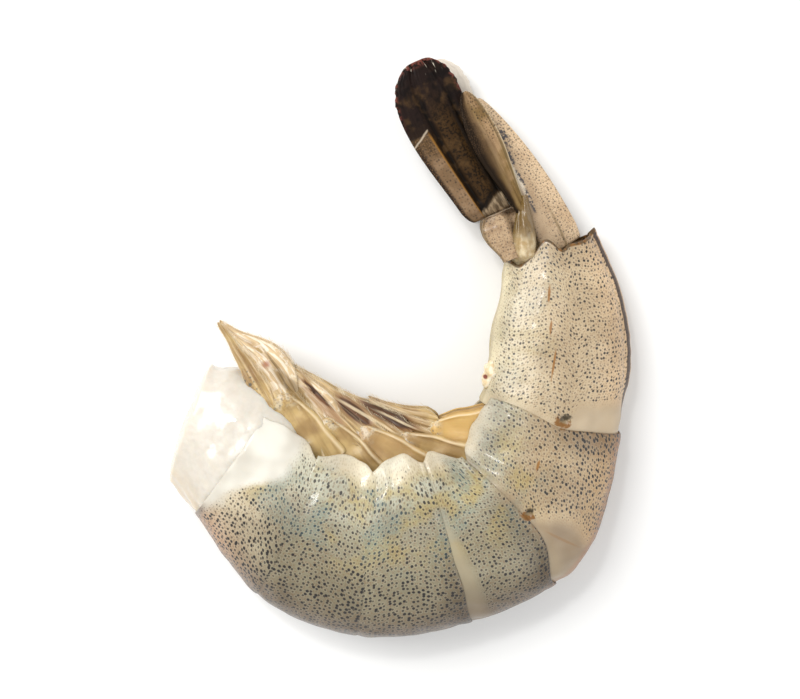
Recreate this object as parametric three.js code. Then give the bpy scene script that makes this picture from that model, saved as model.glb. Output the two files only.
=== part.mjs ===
// A raw tiger prawn with its head off and its shell on, lying curled on its left side.
//
// Millimetres, +Z up. The prawn lies in the XY plane with its right side up: the cut end is at
// low X, the curled back at low Y and the tail fan at high Y. The floor is Z = 0, and the origin
// is under the middle of the whole prawn.
//
// The body is a stack of cross-sections along the curl. A place along it is given by t: 0 is the
// front edge of the first shell ring, whole numbers up to 5 are the joints between the rings, and
// 7 is the joint of the tail fan. Round a cross-section the turn runs from 0 at the back, over the
// right side, to +-180 degrees at the belly.

import * as THREE from 'three';

// ---------------------------------------------------------------- driving sizes, mm and degrees

// Cross-sections at t = -1, 0, 1 ... 7: middle x and y, heading of the back, height, width.
const FIRST_STATION = -1;
const STATIONS = [
  { x: -33.2, y: -6.3, back: 230, height: 19.2, width: 12.4 },
  { x: -24.4, y: -15.7, back: 234.5, height: 19.2, width: 15.4 },
  { x: -15.5, y: -25.0, back: 246, height: 23.4, width: 17.0 },
  { x: -4.4, y: -29.0, back: 266, height: 25.0, width: 17.8 },
  { x: 7.6, y: -26.8, back: 290, height: 25.6, width: 17.6 },
  { x: 17.7, y: -21.8, back: 320, height: 24.3, width: 16.2 },
  { x: 22.2, y: -7.2, back: 353, height: 20.5, width: 13.6 },
  { x: 23.2, y: 4.4, back: 363, height: 18.7, width: 11.8 },
  { x: 21.9, y: 15.3, back: 376, height: 12.8, width: 9.2 },
];
const CENTRE_SHIFT = { x: -0.03, y: -0.70 };  // puts the middle of the whole prawn on the origin
const BELLY_SQUARENESS = 0.6;           // under 1 lets the sides hang straight down to the belly
const REST_FLAT = 0.45;                 // how far the underside is pressed flat on the floor

// Shell rings: 1 to 5 are equal steps of t, 6 is the long ring before the tail fan.
const SHELL = 0.5;                      // thickness
const SHELL_GAP = 0.35;                 // clear space between one ring and what lies under it
const TUCK = 0.15;                      // the stretch of a ring hidden under the ring before it
const TUCK_CLEAR = 0.09;                // how far past the joint it stays down
const TUCK_RISE = 0.16;                 // the stretch in which it comes up to full size
const REAR_FLARE = 0.12;                // how far a ring's rear edge stands off
const FLARE_LENGTH = 0.3;               // the stretch of t in which it turns out
const SIDE_EDGE = 146;                  // turn at which a ring's side plate ends, at a joint
const SIDE_LOBE = 13;                   // how much further down it reaches at mid-ring
const LAST_SIDE_EDGE = 166;             // ring 6 closes further under the belly
const RING_STEPS = 6;
const TURN_STEPS = 18;

// At joints 4 and 5 the front ring's rear edge is drawn forward along the back, by a share of a
// ring, in full from turn `full` to the back and not at all past turn `none`.
const DRAWN = { 4: { by: 0.32, full: 25, none: 88 }, 5: { by: 0.17, full: 60, none: 165 } };

// Ring 6: keel along the back and the spine at its rear end.
const KEEL = { height: 0.7, spread: 10, from: 4.9 };
const SPINE = { reach: 0.16, spread: 14 };

// Flesh: fills the rings and stands out of the first one to a slanted cut.
const CUT = { middle: -0.58, slant: 0.22, dome: 0.09, rounding: 0.03, rings: [0.4, 0.75, 0.94] };
const FLESH_END = { t: 6.55, point: 0.13, ring: 0.1, ringScale: 0.7 };
const FLESH_DEPTH = { stub: 0.5, mouth: 1.0, inside: 1.75 };  // how far it lies under the skin
const FLESH_BELLY = 0.74;               // belly side of the flesh, as a share of the half height
const FLESH_RINGS = 22;
const FLESH_TURN_STEPS = 20;

// Tail fan. Each blade has its root and tip in the XY plane, how far it bows, its full width, the
// share of it left at the root and the tip, where it is fullest and how it rounds off from there.
// A side blade stands `spread` from the tail's middle plane, and its belly edge further out.
const FAN_HEIGHT = 4.5;                 // middle plane of the tail above the floor
const TELSON = {
  root: [23.8, 15.2], tip: [10.9, 36.5], bow: 0.8, width: 6.2, rootShare: 0.95, fullAt: 0.1,
  tipPower: 1.2, tipShare: 0.1, eaves: 2.2, ridge: 1.7, thickness: 0.9,
};
const TAIL_STEM = {
  root: [17.4, 14.5], tip: [15.6, 20.2], bow: 0, width: 8.2, rootShare: 0.6, fullAt: 0.6,
  tipPower: 3.0, tipShare: 0.9, spread: 3.35, fall: 0.02, arch: 0.2, thickness: 1.5,
};
const INNER_BLADE = {
  root: [17.1, 21.3], tip: [7.9, 38.9], bow: -0.2, width: 5.3, rootShare: 0.5, fullAt: 0.55,
  tipPower: 2.2, tipShare: 0.1, spread: 3.1, fall: 0.2, arch: 0.2, thickness: 0.6,
};
const OUTER_BLADE = {
  root: [12.2, 20.3], tip: [2.3, 41.8], bow: -0.8, width: 9.7, rootShare: 0.6, fullAt: 0.78,
  tipPower: 4.0, tipShare: 0.25, spread: 2.9, fall: 0.3, arch: 0.2, thickness: 0.7,
};
const LEFT_FAN_TURN = 5;                // the left side's blades lie turned towards the back
const BLADE_STEPS = 10;
const BLADE_ACROSS = 4;

// Swimmerets: five pairs under rings 1 to 5, all swept towards the cut end. Each has its root at t,
// `side` from the plane between the right and the left ones, and bends from one heading to another.
const SWIMMERETS = [
  { t: 0.69, side: 3.5, length: 21.9, width: 6.0, rootHeading: 121, tipHeading: 130 },
  { t: 1.62, side: 3.7, length: 22.6, width: 5.6, rootHeading: 126, tipHeading: 132 },
  { t: 2.58, side: 3.6, length: 21.4, width: 5.2, rootHeading: 143, tipHeading: 135 },
  { t: 3.54, side: 3.7, length: 18.6, width: 4.8, rootHeading: 158, tipHeading: 140 },
  { t: 4.5, side: 2.8, length: 16.0, width: 4.2, rootHeading: 183, tipHeading: 148 },
];
const SWIMMERET = {
  rootBelly: 0.98,                      // depth of the root, as a share of the half height
  plane: 8.2,                           // height of that plane above the floor
  sideTip: 0.5,                         // how far from it the tips end
  thickness: 0.5, leftTurn: -2,
};
const SWIMMERET_STEPS = 9;
const SWIMMERET_ACROSS = 3;

// ---------------------------------------------------------------------------------- materials

function finish(colour, roughness) {
  return new THREE.MeshStandardMaterial({ color: colour, roughness, metalness: 0 });
}

const FLESH_FINISH = finish(0xf3ede0, 0.3);
const SHELL_FINISH = finish(0xa89c80, 0.32);
const TAIL_FINISH = finish(0x9a8462, 0.35);
const TAIL_DARK_FINISH = finish(0x3c2b1c, 0.4);
const SWIMMERET_FINISH = finish(0xcbb07c, 0.45);

// ------------------------------------------------------------------------------ small helpers

const radians = THREE.MathUtils.degToRad;

function smooth(from, to, value) {
  return THREE.MathUtils.smoothstep(value, from, to);
}

// A bell curve: 1 at 0, falling away over spread.
function bell(value, spread) {
  return Math.exp(-((value / spread) ** 2));
}

// One named size of the stations at t, on a smooth curve through them all.
function along(key, t) {
  const place = THREE.MathUtils.clamp(t - FIRST_STATION, 0, STATIONS.length - 1);
  const i = Math.min(Math.floor(place), STATIONS.length - 2);
  const f = place - i;
  const at = (j) => STATIONS[THREE.MathUtils.clamp(j, 0, STATIONS.length - 1)][key];
  const [a, b, c, d] = [at(i - 1), at(i), at(i + 1), at(i + 2)];
  const bend = 2 * a - 5 * b + 4 * c - d;
  return 0.5 * (2 * b + (c - a) * f + bend * f * f + (3 * b - a - 3 * c + d) * f ** 3);
}

// Height above the floor of the prawn's own middle plane.
function middlePlane(t) {
  return along('width', t) / 2 - REST_FLAT;
}

// A point of the prawn: t along, `up` from the section's middle towards the back, `side` from the
// middle plane towards the right side. Nothing goes under the floor less its depth in the body.
function place(t, up, side, depth = 0) {
  const back = radians(along('back', t));
  const x = along('x', t) + Math.cos(back) * up + CENTRE_SHIFT.x;
  const y = along('y', t) + Math.sin(back) * up + CENTRE_SHIFT.y;
  return new THREE.Vector3(x, y, Math.max(middlePlane(t) + side, depth));
}

// A point of the skin at turn degrees round the section, moved outwards by `out`.
function skin(t, turn, out) {
  const halfHeight = along('height', t) / 2;
  const halfWidth = along('width', t) / 2;
  const c = Math.cos(radians(turn));
  const s = Math.sin(radians(turn));
  const square = c < 0 ? BELLY_SQUARENESS : 1;
  const squared = Math.sign(s) * Math.abs(s) ** square;
  const length = Math.hypot(halfWidth * c, halfHeight * squared);
  const up = halfHeight * c + (out * halfWidth * c) / length;
  const side = halfWidth * squared + (out * halfHeight * squared) / length;
  return place(t, up, side, Math.max(-out, 0));
}

// ----------------------------------------------------------------------------- closed surfaces

// Builds a mesh from points and triangles, with its faces turned outwards.
function solid(name, material, points, triangles) {
  let volume = 0;
  for (const [a, b, c] of triangles) {
    volume += points[a].dot(new THREE.Vector3().crossVectors(points[b], points[c]));
  }
  const geometry = new THREE.BufferGeometry();
  geometry.setFromPoints(points);
  geometry.setIndex(triangles.flatMap(([a, b, c]) => (volume > 0 ? [a, b, c] : [a, c, b])));
  geometry.computeVertexNormals();
  const mesh = new THREE.Mesh(geometry, material);
  mesh.name = name;
  return mesh;
}

// A plate with two faces, each a grid of (rows + 1) x (columns + 1) points, and a rim all round.
function plate(name, material, rows, columns, upper, lower) {
  const points = [];
  for (const face of [upper, lower]) {
    for (let i = 0; i <= rows; i += 1) {
      for (let j = 0; j <= columns; j += 1) points.push(face(i / rows, j / columns));
    }
  }
  const half = (rows + 1) * (columns + 1);
  const at = (i, j, face) => face * half + i * (columns + 1) + j;
  const triangles = [];
  const quad = (a, b, c, d) => triangles.push([a, b, c], [a, c, d]);
  for (let i = 0; i < rows; i += 1) {
    for (let j = 0; j < columns; j += 1) {
      quad(at(i, j, 0), at(i + 1, j, 0), at(i + 1, j + 1, 0), at(i, j + 1, 0));
      quad(at(i, j, 1), at(i, j + 1, 1), at(i + 1, j + 1, 1), at(i + 1, j, 1));
    }
    quad(at(i, 0, 0), at(i, 0, 1), at(i + 1, 0, 1), at(i + 1, 0, 0));
    quad(at(i, columns, 0), at(i + 1, columns, 0), at(i + 1, columns, 1), at(i, columns, 1));
  }
  for (let j = 0; j < columns; j += 1) {
    quad(at(0, j, 0), at(0, j + 1, 0), at(0, j + 1, 1), at(0, j, 1));
    quad(at(rows, j, 0), at(rows, j, 1), at(rows, j + 1, 1), at(rows, j + 1, 0));
  }
  return solid(name, material, points, triangles);
}

// A closed skin over a row of rings, with a point at each end.
function loft(name, material, rings, first, last) {
  const around = rings[0].length;
  const points = [...rings.flat(), first, last];
  const firstPoint = rings.length * around;
  const triangles = [];
  for (let j = 0; j < around; j += 1) {
    const next = (j + 1) % around;
    for (let i = 0; i + 1 < rings.length; i += 1) {
      const a = i * around;
      const b = a + around;
      triangles.push([a + j, a + next, b + next], [a + j, b + next, b + j]);
    }
    const end = firstPoint - around;
    triangles.push([firstPoint, next, j], [firstPoint + 1, end + j, end + next]);
  }
  return solid(name, material, points, triangles);
}

// ----------------------------------------------------------------------------- shell rings

// Turn at which the side plate of a ring ends: lobed on rings 1 to 5, deeper on ring 6.
function sideEdge(ring, share) {
  if (ring === 6) return LAST_SIDE_EDGE;
  return SIDE_EDGE + SIDE_LOBE * Math.sin(Math.PI * share) ** 1.5;
}

// How far behind its joint (in t) a ring's rear edge runs at turn: less than 0 where it is drawn
// forward.
function jointLine(joint, turn) {
  const drawn = DRAWN[joint];
  return drawn ? -drawn.by * (1 - smooth(drawn.full, drawn.none, Math.abs(turn))) : 0;
}

// How far out the ring's outer face is: tucked at the front, full size, then flared at the rear.
// `past` is how far it is past the edge of the ring in front, `left` how far before its own.
function ringOut(ring, past, left) {
  const tucked = -(SHELL + SHELL_GAP);
  const lift = ring === 1 ? 1 : smooth(TUCK_CLEAR, TUCK_CLEAR + TUCK_RISE, past);
  return tucked * (1 - lift) + REAR_FLARE * (1 - smooth(0, FLARE_LENGTH, left));
}

// Keel and spine are on the back of ring 6 alone.
function keelOut(ring, t, turn) {
  if (ring !== 6) return 0;
  return KEEL.height * bell(turn, KEEL.spread) * smooth(KEEL.from, KEEL.from + 0.5, t);
}

function shellRing(ring) {
  const face = (depth) => (share, across) => {
    const turn = sideEdge(ring, share) * (2 * across - 1);
    const edge = ring - 1 + jointLine(ring - 1, turn);
    const front = ring === 1 ? 0 : edge - TUCK;
    const rear = ring === 6 ? 7 : ring + jointLine(ring, turn);
    const reach = ring === 6 ? SPINE.reach * bell(turn, SPINE.spread) * share ** 6 : 0;
    // Rows are closer together over the tucked front, where the ring changes size.
    const t = front + (rear - front) * (0.35 * share + 0.65 * share ** 2) + reach;
    return skin(t, turn, ringOut(ring, t - edge, rear - t) + keelOut(ring, t, turn) - depth);
  };
  const steps = ring === 6 ? RING_STEPS + 3 : RING_STEPS;
  return plate(`shell_ring_${ring}`, SHELL_FINISH, steps, TURN_STEPS, face(0), face(SHELL));
}

// ----------------------------------------------------------------------------------- flesh

// The flesh keeps clear of the rings inside them, and swells where it comes out of the first one.
function fleshDepth(t) {
  const { stub, mouth, inside } = FLESH_DEPTH;
  return stub + (mouth - stub) * smooth(-0.25, 0, t) + (inside - mouth) * smooth(0.1, 0.6, t);
}

// The whole section in the stub, and a shallower belly side inside the rings.
function fleshPoint(t, turn, scale) {
  const halfHeight = along('height', t) / 2;
  const halfWidth = along('width', t) / 2;
  const depth = fleshDepth(t);
  const c = Math.cos(radians(turn));
  const s = Math.sin(radians(turn));
  const belly = t < 0 ? 1 - (1 - FLESH_BELLY) * smooth(-0.5, 0, t) : FLESH_BELLY;
  const up = c > 0 ? (halfHeight - depth) * c : halfHeight * belly * Math.sign(c) * Math.abs(c) ** 0.8;
  const side = (halfWidth - depth) * Math.sign(s) * Math.abs(s) ** (c > 0 ? 1 : 0.9);
  return place(t, up * scale, side * scale, depth + 0.05);
}

function flesh() {
  const ringOf = (tAt, scale) => {
    const ring = [];
    for (let j = 0; j < FLESH_TURN_STEPS; j += 1) {
      const turn = (360 * j) / FLESH_TURN_STEPS;
      ring.push(fleshPoint(tAt(Math.cos(radians(turn)) * scale), turn, scale));
    }
    return ring;
  };
  // The cut end is a low dome, slanted so that the belly side stands out further than the back.
  const rings = CUT.rings.map((scale) => {
    const rise = CUT.dome * Math.sqrt(1 - scale ** 2);
    return ringOf((share) => CUT.middle + CUT.slant * share - rise, scale);
  });
  const start = CUT.middle + CUT.rounding;
  for (let i = 0; i <= FLESH_RINGS; i += 1) {
    const t = start + ((FLESH_END.t - start) * i) / FLESH_RINGS;
    const slant = CUT.slant * (1 - smooth(CUT.middle, 0.9, t));
    rings.push(ringOf((share) => t + slant * share, 1));
  }
  rings.push(ringOf(() => FLESH_END.t + FLESH_END.ring, FLESH_END.ringScale));
  const first = place(CUT.middle - CUT.dome, 0, 0);
  const last = place(FLESH_END.t + FLESH_END.point, 0, 0);
  return loft('flesh', FLESH_FINISH, rings, first, last);
}

// ---------------------------------------------------------------------------------- blades

// Share of a blade's full width at a share of its length: widening from the root, then rounding
// off to what is left at the tip.
function bladeWidth(size, share) {
  const widening = size.rootShare + (1 - size.rootShare) * smooth(0, size.fullAt, share);
  const past = Math.max(share - size.fullAt, 0) / (1 - size.fullAt);
  return widening * (size.tipShare + (1 - size.tipShare) * (1 - past ** size.tipPower) ** 0.6);
}

// A spot in a blade's own plane: share along it, `out` across it towards the prawn's back.
function bladeSpot(size, share, out, turned = 0) {
  const root = new THREE.Vector2(...size.root);
  const axis = new THREE.Vector2(...size.tip).sub(root).rotateAround(new THREE.Vector2(), -turned);
  const across = new THREE.Vector2(axis.y, -axis.x).normalize();
  const bow = size.bow * 4 * share * (1 - share);
  const shift = new THREE.Vector2(CENTRE_SHIFT.x, CENTRE_SHIFT.y);
  return root.addScaledVector(axis, share).addScaledVector(across, out + bow).add(shift);
}

// A flat blade beside the middle one: `hand` is 1 on the right side and -1 on the left. Its belly
// edge stands furthest from the middle plane, so the folded blades lie like the tiles of a roof.
function sideBlade(name, material, size, hand) {
  const turned = hand < 0 && size !== TAIL_STEM ? radians(LEFT_FAN_TURN) : 0;
  const face = (depth) => (share, column) => {
    const c = 2 * column - 1;
    const half = (size.width / 2) * bladeWidth(size, share);
    const spot = bladeSpot(size, share, c * half, turned);
    const thickness = size.thickness * (1 - 0.4 * share) * (1 - 0.35 * c * c);
    const side = size.spread - size.fall * c * half + size.arch * (1 - c * c);
    const height = FAN_HEIGHT + hand * (side + (0.5 - depth) * thickness);
    return new THREE.Vector3(spot.x, spot.y, Math.max(height, 0));
  };
  return plate(name, material, BLADE_STEPS, BLADE_ACROSS, face(0), face(1));
}

// The telson is a roof over the tail: its ridge is on the back and its eaves hang to both sides.
function telson() {
  const size = TELSON;
  const face = (depth) => (share, column) => {
    const c = 2 * column - 1;
    const half = (size.width / 2) * bladeWidth(size, share);
    const fall = 2 * half * Math.abs(c) ** size.ridge;
    const spot = bladeSpot(size, share, half - fall - depth * size.thickness * (1 - 0.6 * c * c));
    const eaves = size.eaves * bladeWidth(size, share) - 0.5 * depth * size.thickness;
    return new THREE.Vector3(spot.x, spot.y, FAN_HEIGHT + c * eaves);
  };
  return plate('telson', TAIL_FINISH, BLADE_STEPS, BLADE_ACROSS + 2, face(0), face(1));
}

// -------------------------------------------------------------------------------- swimmerets

// Each swimmeret is a thin paddle, widest before its middle and narrow at its tip.
function swimmeret(pair, hand) {
  const { t, side, length, width, rootHeading, tipHeading } = SWIMMERETS[pair - 1];
  const { rootBelly, plane, sideTip, thickness, leftTurn } = SWIMMERET;
  const axis = [place(t, -rootBelly * (along('height', t) / 2), 0)];
  const headings = [];
  for (let i = 0; i <= SWIMMERET_STEPS; i += 1) {
    const bend = smooth(0.1, 0.8, i / SWIMMERET_STEPS);
    const heading = radians(rootHeading + (tipHeading - rootHeading) * bend + (hand < 0 ? leftTurn : 0));
    headings.push(heading);
    const step = length / SWIMMERET_STEPS;
    const move = new THREE.Vector3(Math.cos(heading) * step, Math.sin(heading) * step, 0);
    axis.push(axis[i].clone().add(move));
  }
  const face = (depth) => (share, column) => {
    const i = Math.round(share * SWIMMERET_STEPS);
    const c = 2 * column - 1;
    const shape = 0.7 + 0.3 * smooth(0, 0.35, share) - 0.88 * smooth(0.4, 1, share);
    const half = (width / 2) * shape;
    const out = side + (sideTip - side) * share;
    const skinShift = (0.5 - depth) * thickness * (1 - 0.3 * c * c);
    const heading = headings[i];
    const x = axis[i].x - Math.sin(heading) * c * half;
    const y = axis[i].y + Math.cos(heading) * c * half;
    return new THREE.Vector3(x, y, plane + hand * (out + skinShift));
  };
  const name = `${hand > 0 ? 'right' : 'left'}_swimmeret_${pair}`;
  return plate(name, SWIMMERET_FINISH, SWIMMERET_STEPS, SWIMMERET_ACROSS, face(0), face(1));
}

// ----------------------------------------------------------------------------- the whole prawn

const prawn = new THREE.Group();
prawn.name = 'raw_tiger_prawn';
prawn.add(flesh());
for (let ring = 1; ring <= 6; ring += 1) prawn.add(shellRing(ring));
prawn.add(telson());
for (const [side, hand] of [['right', 1], ['left', -1]]) {
  prawn.add(sideBlade(`${side}_tail_stem`, TAIL_FINISH, TAIL_STEM, hand));
  prawn.add(sideBlade(`${side}_inner_blade`, TAIL_FINISH, INNER_BLADE, hand));
  prawn.add(sideBlade(`${side}_outer_blade`, TAIL_DARK_FINISH, OUTER_BLADE, hand));
  for (let pair = 1; pair <= SWIMMERETS.length; pair += 1) prawn.add(swimmeret(pair, hand));
}

export default prawn;
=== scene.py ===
# %% [markdown]
# # A raw tiger prawn
# This lesson dresses a plain solid model of a prawn: head off, shell on, curled up and lying on its
# left side. The solid model is the frame. It says how large the prawn is and where each of its parts
# lies, and nearly every piece made here stands in for one of those parts. The scene is in metres, and
# the sizes below are in millimetres.

# %% Load the frame
import math

import bpy
import numpy as np
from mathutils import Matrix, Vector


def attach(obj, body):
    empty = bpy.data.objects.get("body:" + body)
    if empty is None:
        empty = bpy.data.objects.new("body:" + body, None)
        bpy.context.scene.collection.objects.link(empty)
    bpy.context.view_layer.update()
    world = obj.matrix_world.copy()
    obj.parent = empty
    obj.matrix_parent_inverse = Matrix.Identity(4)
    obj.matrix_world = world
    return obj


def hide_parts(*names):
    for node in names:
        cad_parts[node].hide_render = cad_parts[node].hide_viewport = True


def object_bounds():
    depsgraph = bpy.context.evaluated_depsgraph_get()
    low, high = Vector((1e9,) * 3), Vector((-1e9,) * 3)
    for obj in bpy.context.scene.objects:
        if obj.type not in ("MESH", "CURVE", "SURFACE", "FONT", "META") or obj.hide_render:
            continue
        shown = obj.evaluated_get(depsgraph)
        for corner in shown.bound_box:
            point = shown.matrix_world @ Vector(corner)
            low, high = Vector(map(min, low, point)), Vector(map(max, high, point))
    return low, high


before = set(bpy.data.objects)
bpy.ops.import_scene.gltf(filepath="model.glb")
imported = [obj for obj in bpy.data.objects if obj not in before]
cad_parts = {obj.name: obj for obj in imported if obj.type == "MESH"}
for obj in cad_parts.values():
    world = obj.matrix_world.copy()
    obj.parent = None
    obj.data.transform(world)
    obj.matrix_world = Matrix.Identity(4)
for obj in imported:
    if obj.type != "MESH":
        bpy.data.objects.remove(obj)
cad_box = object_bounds()
MM = 0.001
print("parts in the frame:", len(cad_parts))

# %% [markdown]
# ## The body as a row of cross-sections
# A prawn's body is a tapering tube that curls. It could be sculpted, but a row of measured
# cross-sections is easier to keep true: each one has a middle, a heading for the back, a height and a
# width, and a smooth curve runs through them all. `t` is the place along the body: 0 is the front edge
# of the first shell ring, whole numbers to 5 are the joints between rings, and 7 is the tail joint.
# `turn` goes round a section in degrees, 0 at the back and 180 at the belly.

# %% Cross-sections
FIRST_STATION = -1
STATIONS = {
    "x": (-33.2, -24.4, -15.5, -4.4, 7.6, 17.7, 22.2, 23.2, 21.9),
    "y": (-6.3, -15.7, -25.0, -29.0, -26.8, -21.8, -7.2, 4.4, 15.3),
    "back": (230, 234.5, 246, 266, 290, 320, 353, 363, 376),
    "height": (19.2, 19.2, 23.4, 25.0, 25.6, 24.3, 20.5, 18.7, 12.8),
    "width": (12.4, 15.4, 17.0, 17.8, 17.6, 16.2, 13.6, 11.8, 9.2),
}
CENTRE_SHIFT = (-0.03, -0.70)  # brings the middle of the whole prawn to x = 0, y = 0
BELLY_SQUARENESS = 0.6  # under 1 makes the belly half squarer
REST_FLAT = 0.45  # how far the side that lies on the table is pressed flat


def smooth(low, high, value):
    """0 up to low and 1 from high on, smoothly, or the other way round if low is the larger."""
    share = np.clip((np.asarray(value, float) - low) / (high - low), 0, 1)
    return share * share * (3 - 2 * share)


def bell(value, spread):
    """1 at 0, falling off to both sides to nearly nothing at twice the spread."""
    return np.exp(-((np.asarray(value, float) / spread) ** 2))


def along(size, t):
    """One size of the sections at t, on a smooth curve through all the stations."""
    row = np.array(STATIONS[size], float)
    station = np.asarray(t, float) - FIRST_STATION
    place = np.clip(station, 0, len(row) - 1)
    i = np.minimum(np.floor(place).astype(int), len(row) - 2)
    f = place - i
    a, b, c, d = (row[np.clip(i + k, 0, len(row) - 1)] for k in (-1, 0, 1, 2))
    bend = 2 * a - 5 * b + 4 * c - d
    beyond = np.maximum(station - (len(row) - 1), 0) * (row[-1] - row[-2])
    return beyond + 0.5 * (2 * b + (c - a) * f + bend * f**2 + (3 * b - a - 3 * c + d) * f**3)


def cos_sin(degrees):
    return np.cos(np.radians(degrees)), np.sin(np.radians(degrees))


def middle_plane(t):
    """Height of the body's middle above the table."""
    return along("width", t) / 2 - REST_FLAT


def body_point(t, up, side, depth=0.0):
    """A point of the body in millimetres: up towards the back, side towards the right."""
    cos, sin = cos_sin(along("back", t))
    x = along("x", t) + cos * up + CENTRE_SHIFT[0]
    y = along("y", t) + sin * up + CENTRE_SHIFT[1]
    z = np.maximum(middle_plane(t) + side, depth)
    return np.stack(np.broadcast_arrays(x, y, z), -1)


def skin_point(t, turn, out):
    """A point of the skin at turn degrees round the section, moved outwards by out."""
    half_height, half_width = along("height", t) / 2, along("width", t) / 2
    c, s = cos_sin(turn)
    squareness = np.where(c < 0, BELLY_SQUARENESS, 1.0)
    squared = np.sign(s) * np.abs(s) ** squareness
    length = np.hypot(half_width * c, half_height * squared)
    up = half_height * c + out * half_width * c / length
    side = half_width * squared + out * half_height * squared / length
    return body_point(t, up, side, np.maximum(-out, 0))


print("body height at the middle joint:", along("height", 3), "mm")

# %% [markdown]
# ## Uneven surfaces
# Nothing on an animal is exactly smooth. `ripple` adds up a few waves that run in random directions
# through space, so neighbouring pieces share the same swells. The directions come from a fixed seed,
# so every run gives the same prawn.

# %% Ripples
def ripple(points, wavelength, seed, waves=9):
    """About -1 to 1 all over space, changing over about one wavelength (millimetres)."""
    draw = np.random.default_rng(seed)
    total = 0.0
    for _ in range(waves):
        direction = draw.normal(size=3)
        direction *= draw.uniform(0.7, 1.5) / np.linalg.norm(direction)
        total = total + np.sin(points @ direction * 2 * math.pi / wavelength + draw.uniform(0, 6.3))
    return total / math.sqrt(waves)


print("one ripple:", round(float(ripple(np.zeros(3), 5.0, 1)), 3))

# %% [markdown]
# ## From points to pieces
# Each piece but the fringe is a closed mesh, made from one or two grids of points. A plate, such as
# a shell ring or a tail blade, has an upper and a lower face and a rim all round. Per-point values
# are stored as an attribute on the mesh, so a material can follow the piece: how far along it a
# point is and how far round. `new_mesh` gives the mesh its finish, and `add_piece` makes it ride on
# the prawn and hides the solids it stands in for.

# %% Meshes
def grid_faces(rows, columns, start=0, flipped=False):
    """Faces between the points of a grid, whose first point has the number start."""
    i, j = np.meshgrid(np.arange(rows), np.arange(columns), indexing="ij")
    a = (start + i * (columns + 1) + j).ravel()
    quads = np.stack([a, a + columns + 1, a + columns + 2, a + 1], 1)
    return (quads[:, ::-1] if flipped else quads).tolist()


def plate_mesh(upper, lower):
    """Points and faces of a closed plate between two grids of points of the same shape."""
    rows, columns = upper.shape[0] - 1, upper.shape[1] - 1
    half = (rows + 1) * (columns + 1)
    faces = grid_faces(rows, columns) + grid_faces(rows, columns, half, True)
    at = np.arange(half).reshape(rows + 1, columns + 1)
    loop = np.concatenate([at[0, :-1], at[:-1, -1], at[-1, :0:-1], at[:0:-1, 0]])
    after = np.roll(loop, -1)
    faces += np.stack([loop, after, after + half, loop + half], 1).tolist()
    return np.concatenate([upper.reshape(-1, 3), lower.reshape(-1, 3)]), faces


def tube_faces(rows, columns):
    """Faces of a tube of points, closed all round and capped at both ends."""
    at = np.arange(rows * columns).reshape(rows, columns)
    after = np.roll(at, -1, axis=1)
    quads = np.stack([at[:-1], after[:-1], after[1:], at[1:]], -1).reshape(-1, 4).tolist()
    return quads + [at[0][::-1].tolist(), at[-1].tolist()]


def measured(grid):
    """Distances in millimetres along and across a grid of points, from its middle lines."""
    shares = []
    for axis in (0, 1):
        steps = np.linalg.norm(np.diff(grid, axis=axis), axis=-1)
        total = np.cumsum(np.insert(steps, 0, 0.0, axis=axis), axis=axis)
        shares.append(total - np.take(total, [total.shape[axis] // 2], axis=axis))
    return shares


def show(made):
    """Puts an object into the scene."""
    bpy.context.scene.collection.objects.link(made)
    return made


def store(mesh, name, vectors):
    """Keeps one vector for each point of a mesh."""
    held = mesh.attributes.new(name, "FLOAT_VECTOR", "POINT")
    held.data.foreach_set("vector", np.asarray(vectors, np.float32).ravel())


def new_mesh(name, points, faces, place, skin, finish):
    """A mesh object in metres, with its faces turned outwards and two attributes for its finish."""
    points = np.asarray(points, float) * MM
    first, second, third = (points[[f[k] for f in faces]] for k in range(3))
    if np.einsum("ij,ij->i", first, np.cross(second, third)).sum() < 0:
        faces = [f[::-1] for f in faces]
    mesh = bpy.data.meshes.new(name)
    mesh.from_pydata(points.tolist(), [], faces)
    mesh.shade_smooth()
    for attribute, values in (("place", place), ("skin", skin)):
        values = np.stack(np.broadcast_arrays(*values), -1).reshape(-1, 3)
        store(mesh, attribute, np.tile(values, (len(points) // len(values), 1)))
    mesh.materials.append(finish)
    return show(bpy.data.objects.new(name, mesh))


def add_piece(piece, slot, *nodes):
    """Makes a piece ride on the prawn and hides the solids it stands in for. Its slot is not used."""
    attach(piece, "root")
    if nodes:
        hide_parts(*nodes)
    print(f"{piece.name}: {len(piece.data.polygons)} faces")


def rounded(distance, radius):
    """0 at an edge, rising like a quarter circle to 1 at radius from it."""
    inside = np.clip(1 - np.asarray(distance, float) / radius, 0, 1)
    return np.sqrt(1 - inside**2)


def crowded(count, power=0.75):
    """Shares from 0 to 1, set closer together at both ends, where edges need rounding."""
    even = np.linspace(-1, 1, count + 1)
    eased = np.sin(even * math.pi / 2)
    return (power * eased + (1 - power) * even) / 2 + 0.5


print("a crowded row of 5:", crowded(4).round(2))

# %% [markdown]
# ## Materials written as sums
# A node material is a long chain of small sums. `Link` wraps one output of a node and lets Python's
# own operators add the Math nodes, so a mask can be written as `1 - dots * band`. `Finish` makes the
# material, and its one method `node` makes any node: settings first, then the values or links.

# %% Links and finishes
def colour(red, green, blue):
    """A colour in everyday 0 to 255 numbers, as the linear light that nodes work in."""
    parts = [c / 255 for c in (red, green, blue)]
    return tuple(c / 12.92 if c <= 0.04045 else ((c + 0.055) / 1.055) ** 2.4 for c in parts) + (1.0,)


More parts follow.
